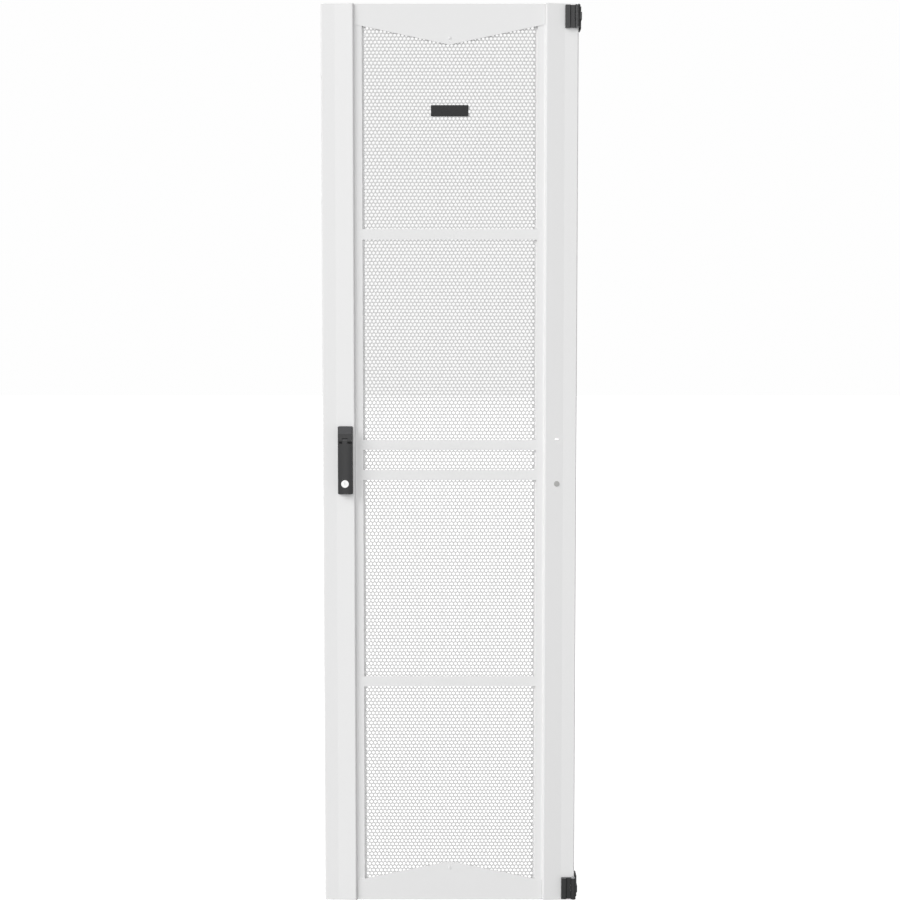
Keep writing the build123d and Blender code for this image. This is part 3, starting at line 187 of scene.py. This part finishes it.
class ToneDrift(EffectGroup):
    """Slow change of tone and gloss over a surface, and a paler tone painted on its upward faces
    as painted light from above.
    """

    label = "tone_drift_and_top_light"
    inputs = (
        ("Colour", "NodeSocketColor", (0.8, 0.8, 0.8, 1.0)),
        ("Spread", "NodeSocketFloat", 0.03),
        ("Size", "NodeSocketFloat", 5.0),
        ("Roughness", "NodeSocketFloat", 0.4),
        ("Gloss spread", "NodeSocketFloat", 0.06),
        ("Dust", "NodeSocketFloat", 0.0),
    )
    outputs = (("Colour", "NodeSocketColor"), ("Roughness", "NodeSocketFloat"))

    DETAIL = 4.0
    NOISE_MEAN = 0.5

    def fill(self) -> None:
        """Change colour and roughness by one slow noise, and paint the upward faces paler as
        painted light from above.
        """
        place = self.node("ShaderNodeTexCoord")
        noise = self.node("ShaderNodeTexNoise")
        noise.inputs["Detail"].default_value = self.DETAIL
        self.link(place.outputs["Object"], noise.inputs["Vector"])
        self.link(self.given["Size"], noise.inputs["Scale"])
        centred = self.node("ShaderNodeMath", operation="SUBTRACT")
        centred.inputs[1].default_value = self.NOISE_MEAN
        self.link(noise.outputs["Fac"], centred.inputs[0])
        share = self.node("ShaderNodeMath", operation="MULTIPLY_ADD")
        share.inputs[2].default_value = 1.0
        self.link(centred.outputs[0], share.inputs[0])
        self.link(self.given["Spread"], share.inputs[1])
        facing = self.node("ShaderNodeSeparateXYZ")
        self.link(place.outputs["Normal"], facing.inputs[0])
        upward = self.node("ShaderNodeMath", operation="MAXIMUM")
        upward.inputs[1].default_value = 0.0
        self.link(facing.outputs["Z"], upward.inputs[0])
        # The paler tone on upward faces is painted light from above, not dirt.
        tone_and_top_light = self.node("ShaderNodeMath", operation="MULTIPLY_ADD")
        self.link(upward.outputs[0], tone_and_top_light.inputs[0])
        self.link(self.given["Dust"], tone_and_top_light.inputs[1])
        self.link(share.outputs[0], tone_and_top_light.inputs[2])
        tint = self.node("ShaderNodeVectorMath", operation="SCALE")
        self.link(self.given["Colour"], tint.inputs[0])
        self.link(tone_and_top_light.outputs[0], tint.inputs["Scale"])
        self.link(tint.outputs["Vector"], self.result["Colour"])
        gloss = self.node("ShaderNodeMath", operation="MULTIPLY_ADD")
        self.link(centred.outputs[0], gloss.inputs[0])
        self.link(self.given["Gloss spread"], gloss.inputs[1])
        self.link(self.given["Roughness"], gloss.inputs[2])
        self.link(gloss.outputs[0], self.result["Roughness"])


# Finishes

@dataclass(frozen=True)
class Finish:
    """A finish with its own tone, gloss, relief and slow drift.

    Attributes:
        slot: The record's slot that the finish belongs to.
        colour: Base colour in linear light.
        roughness: Mean roughness.
        metallic: 1 on bare or plated metal, 0 on paint and plastic.
        grain: Relief features in a metre.
        height: Height of the relief in metres.
        ripple: Share of the slow ripple in the relief.
        spread: Change of tone over the surface.
        drift_size: Patches of tone in a metre.
        gloss_spread: Change of roughness over the surface.
        coat: Weight of a clear coat.
        specular: Specular level of the skin.
        dust: How much paler the upward faces are painted, as painted light from above.
        label: Name of the material, if it isn't the slot's.
    """

    slot: Slot
    colour: Colour
    roughness: float
    metallic: float = 0.0
    grain: float = 800.0
    height: float = 0.00002
    ripple: float = 0.4
    spread: float = 0.03
    drift_size: float = 5.0
    gloss_spread: float = 0.06
    coat: float = 0.0
    specular: float = 0.5
    dust: float = 0.0
    label: str = ""

    def material(self, grain: SurfaceGrain, drift: ToneDrift) -> bpy.types.Material:
        """Build the material.

        Args:
            grain: The shared relief group.
            drift: The shared tone group.

        Returns:
            A material with its own label or the slot's name.
        """
        made = bpy.data.materials.new(self.label or self.slot.value)
        made.use_nodes = True
        shader = made.node_tree.nodes["Principled BSDF"]
        links = made.node_tree.links
        relief = grain.place(made, grain=self.grain, height=self.height, ripple=self.ripple)
        tone = drift.place(
            made,
            spread=self.spread,
            size=self.drift_size,
            roughness=self.roughness,
            gloss_spread=self.gloss_spread,
            dust=self.dust,
        )
        tone.inputs["Colour"].default_value = (*self.colour, 1.0)
        links.new(tone.outputs["Colour"], shader.inputs["Base Color"])
        links.new(tone.outputs["Roughness"], shader.inputs["Roughness"])
        links.new(relief.outputs["Normal"], shader.inputs["Normal"])
        shader.inputs["Metallic"].default_value = self.metallic
        shader.inputs["Coat Weight"].default_value = self.coat
        shader.inputs["Specular IOR Level"].default_value = self.specular
        return made


# Darker copy of the white powder coat for the punched webs: the lower tone is painted shade of
# the holes and webs, the paint is the same.
PUNCHED_SHADED = Finish(
    Slot.WHITE, (0.61, 0.61, 0.61), 0.55,
    grain=900.0, height=0.00003, spread=0.02, specular=0.25, label="punched_coat_painted_shade",
)
FINISHES = (
    Finish(
        Slot.WHITE, (0.79, 0.79, 0.79), 0.55,
        grain=900.0, height=0.00003, spread=0.02, specular=0.25,
    ),
    # The casting's upward faces are painted paler: painted light from above.
    Finish(
        Slot.CASTING, (0.0215, 0.0215, 0.0225), 0.46,
        grain=1400.0, height=0.00003, spread=0.10, drift_size=40.0, dust=4.0,
    ),
    Finish(
        Slot.PLASTIC, (0.015, 0.015, 0.016), 0.50,
        grain=2200.0, height=0.000012, spread=0.06, drift_size=60.0, specular=0.3,
    ),
    Finish(
        Slot.ZINC, (0.60, 0.61, 0.63), 0.36, metallic=1.0,
        grain=1200.0, height=0.000010, spread=0.12, drift_size=45.0, gloss_spread=0.18,
    ),
    Finish(
        Slot.LOCK, (0.95, 0.95, 0.94), 0.30, metallic=0.1,
        grain=2500.0, height=0.000004, spread=0.03,
    ),
    Finish(
        Slot.NYLON, (0.42, 0.42, 0.41), 0.50,
        grain=1800.0, height=0.000012, spread=0.05, drift_size=50.0,
    ),
    Finish(
        Slot.RUBBER, (0.028, 0.028, 0.028), 0.72,
        grain=1600.0, height=0.00003, spread=0.10, drift_size=60.0,
    ),
)


class Paintshop:
    """Holds the material of each slot and the punched sheet's darker copy of the white, whose
    lower tone is painted shade, and puts them on pieces.
    """

    def __init__(self, finishes: Iterable[Finish]) -> None:
        """Build the shared groups and every material.

        Args:
            finishes: The finishes of the whole door.
        """
        grain = SurfaceGrain()
        drift = ToneDrift()
        self.materials = {finish.slot: finish.material(grain, drift) for finish in finishes}
        # The punched sheet's material: the white made darker as painted shade.
        self.punched = PUNCHED_SHADED.material(grain, drift)

    def coat(self, piece: bpy.types.Object, slot: Slot) -> None:
        """Give a piece the material of a slot on its whole surface.

        Args:
            piece: A new piece or a node of the frame.
            slot: The slot whose finish it takes.
        """
        material = self.materials[slot]
        if not piece.material_slots:
            piece.data.materials.append(material)
        for place in piece.material_slots:
            place.material = material


# Meshes

def build_mesh(
    name: str,
    vertices: list[Place],
    faces: list[tuple[int, ...]],
    kinds: Iterable[int] = (),
) -> bpy.types.Object:
    """Make an object of a list of vertices and faces.

    Args:
        name: Name of the object.
        vertices: Points in the frame's axes.
        faces: Vertex numbers of each face.
        kinds: Material number of each face, if they differ.

    Returns:
        The object, linked to the scene.
    """
    mesh = bpy.data.meshes.new(name)
    mesh.from_pydata(vertices, [], faces)
    for polygon, kind in zip(mesh.polygons, kinds):
        polygon.material_index = kind
    mesh.validate()
    made = bpy.data.objects.new(name, mesh)
    bpy.context.scene.collection.objects.link(made)
    return made


@dataclass
class Honeycomb:
    """Flat sheet with staggered hexagonal holes, in cells that share their corners.

    Attributes:
        pitch: Distance between holes in a row.
        row: Distance between rows.
        web: Width of the metal between two holes.
    """

    pitch: float = 9.0 * MM
    row: float = 7.85 * MM
    web: float = 2.8 * MM

    CORNERS = ((0, 2), (-1, 1), (-1, -1), (0, -2), (1, -1), (1, 1))

    def centre(self, column: int, line: int) -> Point:
        """Centre of a cell, from its column and row numbers."""
        return (column + (line % 2) / 2) * self.pitch, line * self.row

    def corners(self, centre: Point, share: float = 1.0) -> list[Point]:
        """Corners of a cell or its hole, anticlockwise from the top.

        Args:
            centre: The cell's centre.
            share: 1 for the cell, less for its hole.

        Returns:
            Six points.
        """
        half, third = self.pitch / 2 * share, self.row / 3 * share
        return [(centre[0] + i * half, centre[1] + j * third) for i, j in self.CORNERS]

    @property
    def hole_share(self) -> float:
        """Width of a hole as a share of its cell."""
        return 1 - self.web / self.pitch


@dataclass
class Groove:
    """Pressed groove along each long edge of the perforated sheet.

    Attributes:
        outer: Distance from mid-width at which it starts.
        steep_run: Width of its outer wall.
        gentle_run: Width of its inner wall.
        depth: Depth of its valley.
        bend: Half the width over which each bend is rounded.
        margin: How far beside the groove the sheet still has finer edges.
        cuts: Number of parts of an edge there.
    """

    outer: float = 202.0 * MM
    steep_run: float = 3.0 * MM
    gentle_run: float = 7.0 * MM
    depth: float = 5.0 * MM
    bend: float = 0.9 * MM
    margin: float = 2.0 * MM
    cuts: int = 4

    @property
    def valley(self) -> float:
        """Distance from mid-width of the deepest line."""
        return self.outer - self.steep_run

    def sharp(self, x: float) -> float:
        """Depth of the unrounded groove.

        Args:
            x: Distance from mid-width.

        Returns:
            0 beside the groove.
        """
        away = abs(x)
        if away > self.valley:
            share = (self.outer - away) / self.steep_run
        else:
            share = 1 - (self.valley - away) / self.gentle_run
        return self.depth * max(0.0, share)

    def at(self, x: float) -> float:
        """Depth of the rounded groove at a distance from mid-width."""
        return (self.sharp(x - self.bend) + 2 * self.sharp(x) + self.sharp(x + self.bend)) / 4

    def steps(self, start: Point, end: Point) -> int:
        """Number of parts that an edge is cut into, so that the sheet can follow the groove.

        Args:
            start: One end of the edge.
            end: Its other end.

        Returns:
            1 away from the groove.
        """
        low = self.valley - self.gentle_run - self.margin
        high = self.outer + self.margin
        near = any(low < abs(point[0]) < high for point in (start, end))
        return self.cuts if near else 1


def between(start: Point, end: Point, share: float) -> Point:
    """Point at a share of the way from one point to another."""
    return start[0] + (end[0] - start[0]) * share, start[1] + (end[1] - start[1]) * share


class Metal(Enum):
    """Material numbers of the sheet's faces: punched cells take the white darkened as painted
    shade, blank cells the plain white.
    """

    PUNCHED_SHADED = 0
    BLANK = 1


class SheetMesher:
    """Collects flat faces and turns them into a closed sheet of one thickness."""

    MEETING = 0.0001 * MM
    BLANK_RINGS = (0.0, 0.3, 0.6, 1.0)

    def __init__(self, groove: Groove) -> None:
        """Start with no faces.

        Args:
            groove: The groove that the sheet follows.
        """
        self.groove = groove
        self.points: list[Point] = []
        self.numbers: dict[tuple[int, int], int] = {}
        self.faces: list[tuple[int, ...]] = []
        self.kinds: list[int] = []
        self.metal = Metal.PUNCHED_SHADED

    def number(self, point: Point) -> int:
        """Number of a point, the same for points that meet.

        Args:
            point: A flat point.

        Returns:
            Its place in the list of points.
        """
        key = (round(point[0] / self.MEETING), round(point[1] / self.MEETING))
        if key not in self.numbers:
            self.numbers[key] = len(self.points)
            self.points.append(point)
        return self.numbers[key]

    def face(self, corners: list[Point]) -> None:
        """Add a face of the metal in hand, without the corners that meet each other.

        Args:
            corners: Corners of the face, anticlockwise.
        """
        loop: list[int] = []
        for corner in corners:
            found = self.number(corner)
            if found not in loop:
                loop.append(found)
        if len(loop) > 2:
            self.faces.append(tuple(loop))
            self.kinds.append(self.metal.value)

    def ring(self, outer: list[Point], inner: list[Point]) -> None:
        """Add the metal between a cell's outline and its hole.

        Args:
            outer: Corners of the outline.
            inner: Corners of the hole, in the same order.
        """
        for i in range(len(outer)):
            j = (i + 1) % len(outer)
            steps = self.groove.steps(outer[i], outer[j])
            for step in range(steps):
                part, rest = step / steps, (step + 1) / steps
                self.face([
                    between(outer[i], outer[j], part), between(outer[i], outer[j], rest),
                    between(inner[i], inner[j], rest), between(inner[i], inner[j], part),
                ])

    def blank(self, outer: list[Point], centre: Point) -> None:
        """Add a cell without a hole.

        Args:
            outer: Corners of the cell.
            centre: A point inside it.
        """
        edges = zip(outer, outer[1:] + outer[:1])
        if all(self.groove.steps(start, end) == 1 for start, end in edges):
            self.face(outer)
            return
        for near, far in zip(self.BLANK_RINGS, self.BLANK_RINGS[1:]):
            self.ring(
                [between(point, centre, near) for point in outer],
                [between(point, centre, far) for point in outer],
            )

    def solid(
        self, name: str, place: Callable[[Point], Place], thickness: Vector,
    ) -> bpy.types.Object:
        """Close the collected faces into a solid sheet.

        Args:
            name: Name of the object.
            place: Function from a flat point to its front point in the frame.
            thickness: Vector from a front point to the one behind it.

        Returns:
            The new object.
        """
        front = [Vector(place(point)) for point in self.points]
        count = len(front)
        vertices = [tuple(p) for p in front] + [tuple(p + thickness) for p in front]
        edges = {
            edge: None for face in self.faces for edge in zip(face, face[1:] + face[:1])
        }
        faces = list(self.faces)
        faces += [tuple(i + count for i in reversed(face)) for face in self.faces]
        faces += [(b, a, a + count, b + count) for a, b in edges if (b, a) not in edges]
        return build_mesh(name, vertices, faces, self.kinds * 2)


@dataclass
class PerforatedSheet:
    """The door's sheet with its fine honeycomb, in one piece for each bay.

    Attributes:
        comb: Pattern of the holes.
        groove: Groove along its long edges.
        half_window: Half the width that the stiles leave open.
        overlap: How far the holes run on behind bars and strips.
        plate_end: Height of an end plate at the strips.
        plate_apex: Height of an end plate at mid-width.
        blank_inset: How far the unpunched patch stays inside the nameplate.
        thickness: Thickness of the metal.
        crossbars: Number of crossbars on it.
    """

    comb: Honeycomb
    groove: Groove
    half_window: float = 201.0 * MM
    overlap: float = 4.0 * MM
    plate_end: float = 46.5 * MM
    plate_apex: float = 92.0 * MM
    blank_inset: float = 1.0 * MM
    thickness: float = 1.5 * MM
    crossbars: int = 4

    def __post_init__(self) -> None:
        """Read the sheet's place and what lies on it from the frame."""
        low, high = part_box("perforated_sheet")
        self.low, self.high = low, high
        self.middle = (low.x + high.x) / 2
        bars = [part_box(f"crossbar_{number}") for number in range(1, self.crossbars + 1)]
        self.bars = sorted(bars, key=lambda box: box[0].z)
        self.bottom, self.top = (corner.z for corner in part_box("left_stile"))
        self.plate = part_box("nameplate")

    def punched(self, x: float, z: float) -> bool:
        """Whether the cell at a place has a hole.

        Args:
            x: Distance from mid-width.
            z: Height in the frame.

        Returns:
            True inside a bay or close behind its edge.
        """
        if abs(x) + self.comb.pitch / 2 > self.groove.valley:
            return False
        fall = (self.plate_apex - self.plate_end) * (1 - abs(x) / self.half_window)
        edge = self.plate_end + max(0.0, fall) - self.overlap
        if not self.bottom + edge < z < self.top - edge:
            return False
        for low, high in self.bars:
            if low.z + self.overlap < z < high.z - self.overlap:
                return False
        low, high = self.plate
        inset = self.blank_inset
        behind = abs(x) < (high.x - low.x) / 2 - inset and low.z + inset < z < high.z - inset
        return not behind

    def bands(self) -> list[tuple[float, float]]:
        """Heights between which each piece of the sheet lies."""
        cuts = [(low.z + high.z) / 2 for low, high in self.bars]
        return list(zip([self.low.z] + cuts, cuts + [self.high.z]))

    def piece(self, number: int, low: float, high: float) -> bpy.types.Object:
        """Build the sheet between two heights.

        Args:
            number: Number of the piece, from the bottom.
            low: Height at which it starts.
            high: Height at which it ends.

        Returns:
            The new object.
        """
        comb = self.comb
        origin = (self.bottom + self.top) / 2
        half = (self.high.x - self.low.x) / 2
        mesher = SheetMesher(self.groove)
        first = int((self.low.z - origin) / comb.row) - 1
        last = int((self.high.z - origin) / comb.row) + 1
        columns = int(half / comb.pitch) + 1

        def clamp(point: Point) -> Point:
            """Keep a point inside the sheet's outline.

            Args:
                point: A flat point.

            Returns:
                The same point or the nearest one of the outline.
            """
            x = min(half, max(-half, point[0]))
            z = min(self.high.z - origin, max(self.low.z - origin, point[1]))
            return x, z

        for line in range(first, last + 1):
            if not low <= line * comb.row + origin < high:
                continue
            for column in range(-columns - 1, columns + 1):
                centre = comb.centre(column, line)
                outer = [clamp(p) for p in comb.corners(centre)]
                if self.punched(centre[0], centre[1] + origin):
                    mesher.metal = Metal.PUNCHED_SHADED
                    mesher.ring(outer, comb.corners(centre, comb.hole_share))
                else:
                    mesher.metal = Metal.BLANK
                    mesher.blank(outer, clamp(centre))
        return mesher.solid(
            f"perforated_sheet_bay_{number}",
            lambda p: (self.middle + p[0], self.low.y + self.groove.at(p[0]), origin + p[1]),
            Vector((0, self.thickness, 0)),
        )

    def build(self, shop: Paintshop) -> None:
        """Build, coat and attach every piece of the sheet.

        Args:
            shop: The materials.
        """
        for number, (low, high) in enumerate(self.bands(), start=1):
            made = self.piece(number, low, high)
            # Punched cells take the darker white, which is painted shade; blank cells take the
            # plain white.
            made.data.materials.append(shop.punched)
            made.data.materials.append(shop.materials[Slot.WHITE])
            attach(made, "door")
            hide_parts("perforated_sheet")
            LOG.info("%s with %d faces", made.name, len(made.data.polygons))


# Nodes of the frame that keep their own form

@dataclass
class FrameDresser:
    """Gives every carried-over node the finish of its slot."""

    shop: Paintshop

    FINISH_OF = {
        Slot.WHITE: (
            "left_stile", "left_return", "left_lip", "right_stile", "right_return", "right_lip",
            "top_rail", "bottom_rail", "top_v_plate", "bottom_v_plate", "apex_rivets",
            "crossbar_1", "crossbar_2", "crossbar_3", "crossbar_4", "perforated_sheet",
        ),
        Slot.CASTING: (
            "upper_door_hinge", "lower_door_hinge", "upper_frame_hinge", "lower_frame_hinge",
            "handle_base", "handle_head", "lever",
        ),
        Slot.PLASTIC: ("nameplate",),
        Slot.LOCK: ("lock_cylinder", "key_plug"),
        Slot.NYLON: (
            "blanking_plug", "upper_roller", "lower_roller",
            "upper_rod_guide_1", "upper_rod_guide_2", "lower_rod_guide_1", "lower_rod_guide_2",
        ),
        Slot.RUBBER: ("door_buffers",),
    }

    def dress(self) -> None:
        """Coat the nodes; what no list names is plated steel."""
        known = {node: slot for slot, nodes in self.FINISH_OF.items() for node in nodes}
        for name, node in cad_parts.items():
            slot = known.get(name, Slot.ZINC)
            self.shop.coat(node, slot)
            LOG.info("%s in %s", name, slot.value)


# Studio

@dataclass(frozen=True)
class Softbox:
    """One broad light.

    Attributes:
        name: Name of the light.
        side_deg: Its direction from the door's front, to the right of it.
        rise_deg: Its direction above the door's middle.
        distance: Its distance from the door's middle.
        size: Its width and height.
        level: Brightness of white paper that faces it.
    """

    name: str
    side_deg: float
    rise_deg: float
    distance: float
    size: Point
    level: float


SOFTBOXES = (
    Softbox("key_softbox", -55.0, 30.0, 50.0, (30.0, 30.0), 0.68),
    Softbox("front_softbox", 0.0, 10.0, 50.0, (30.0, 30.0), 0.40),
    Softbox("rear_softbox", -165.0, 55.0, 50.0, (30.0, 30.0), 0.60),
)


@dataclass
class Studio:
    """White surroundings with a broad light from the left and soft fills.

    Attributes:
        floor_gap: Room between the door's lowest point and the floor.
        floor_reach: Half the width of the floor.
        floor_colour: Colour of the floor under the lights.
        ambient: Strength of the surroundings as a light.
        seen: Brightness of the surroundings for the camera.
    """

    floor_gap: float = 10.0 * MM
    floor_reach: float = 60.0
    floor_colour: Colour = (0.2, 0.2, 0.2)
    ambient: float = 0.30
    seen: float = 0.99

    def glow(self, tree: bpy.types.NodeTree) -> bpy.types.NodeSocket:
        """Add a strength that is higher for what the camera sees than for what is lit.

        Args:
            tree: The node tree that gets the strength.

        Returns:
            The socket with the strength.
        """
        path = tree.nodes.new("ShaderNodeLightPath")
        strength = tree.nodes.new("ShaderNodeMapRange")
        strength.inputs["To Min"].default_value = self.ambient
        strength.inputs["To Max"].default_value = self.seen
        tree.links.new(path.outputs["Is Camera Ray"], strength.inputs["Value"])
        return strength.outputs["Result"]

    def world(self) -> None:
        """Set up the surroundings."""
        world = bpy.data.worlds.new("white_studio")
        bpy.context.scene.world = world
        world.use_nodes = True
        tree = world.node_tree
        background = tree.nodes["Background"]
        background.inputs["Color"].default_value = (1.0, 1.0, 1.0, 1.0)
        tree.links.new(self.glow(tree), background.inputs["Strength"])

    def floor(self) -> None:
        """Lay the pale floor."""
        z = CAD_BOUNDS[0][2] - self.floor_gap
        reach = self.floor_reach
        corners = [(-reach, -reach, z), (reach, -reach, z), (reach, reach, z), (-reach, reach, z)]
        made = build_mesh("studio_floor", corners, [(0, 1, 2, 3)])
        material = bpy.data.materials.new("studio_floor")
        material.use_nodes = True
        tree = material.node_tree
        shader = tree.nodes["Principled BSDF"]
        shader.inputs["Base Color"].default_value = (*self.floor_colour, 1.0)
        shader.inputs["Specular IOR Level"].default_value = 0.0
        shader.inputs["Emission Color"].default_value = (1.0, 1.0, 1.0, 1.0)
        tree.links.new(self.glow(tree), shader.inputs["Emission Strength"])
        made.data.materials.append(material)

    def light(self, light: Softbox, aim: Vector) -> None:
        """Hang one softbox.

        Args:
            light: The softbox.
            aim: What it points at.
        """
        data = bpy.data.lights.new(light.name, "AREA")
        data.shape = "RECTANGLE"
        data.size, data.size_y = light.size
        # This power gives white paper at the light's distance the level as its brightness.
        data.energy = light.level * (math.pi * light.distance) ** 2
        made = bpy.data.objects.new(light.name, data)
        side, rise = math.radians(light.side_deg), math.radians(light.rise_deg)
        flat = math.cos(rise)
        way = Vector((math.sin(side) * flat, -math.cos(side) * flat, math.sin(rise)))
        made.location = aim + way * light.distance
        made.rotation_euler = (-way).to_track_quat("-Z", "Y").to_euler()
        bpy.context.scene.collection.objects.link(made)

    def build(self) -> None:
        """Set up surroundings, floor and lights."""
        self.world()
        self.floor()
        low, high = (Vector(corner) for corner in CAD_BOUNDS)
        for softbox in SOFTBOXES:
            self.light(softbox, (low + high) / 2)


@dataclass
class PhotoCamera:
    """Camera at the photograph's place.

    Attributes:
        distance: Distance in front of the stiles' faces.
        height: Height in the frame.
        pitch_deg: How far it looks down.
        focal_px: Focal length in pixels of the photograph.
        aside: Distance to the right of the door's middle.
        sensor: Width of the sensor in millimetres.
    """

    distance: float = 3.206
    height: float = 1.2268
    pitch_deg: float = 3.382
    focal_px: float = 1384.8
    aside: float = 0.7 * MM
    sensor: float = 36.0

    def build(self) -> None:
        """Create the camera and make it the scene's own."""
        data = bpy.data.cameras.new("photo_camera")
        data.sensor_fit = "HORIZONTAL"
        data.sensor_width = self.sensor
        data.lens = self.sensor * self.focal_px / PHOTO_SIDE
        data.dof.use_dof = False
        made = bpy.data.objects.new("photo_camera", data)
        low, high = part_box("left_stile")
        middle = (low.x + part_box("right_stile")[1].x) / 2
        made.location = (middle + self.aside, low.y - self.distance, self.height)
        made.rotation_euler = (math.radians(90 - self.pitch_deg), 0, 0)
        bpy.context.scene.collection.objects.link(made)
        bpy.context.scene.camera = made


def main() -> None:
    """Build the camera, the studio and every sub-assembly in order."""
    logging.basicConfig(level=logging.INFO)
    bpy.context.scene.view_settings.view_transform = "Standard"
    PhotoCamera().build()
    Studio().build()
    shop = Paintshop(FINISHES)
    FrameDresser(shop).dress()
    PerforatedSheet(Honeycomb(), Groove()).build(shop)


if __name__ == "__main__":
    main()
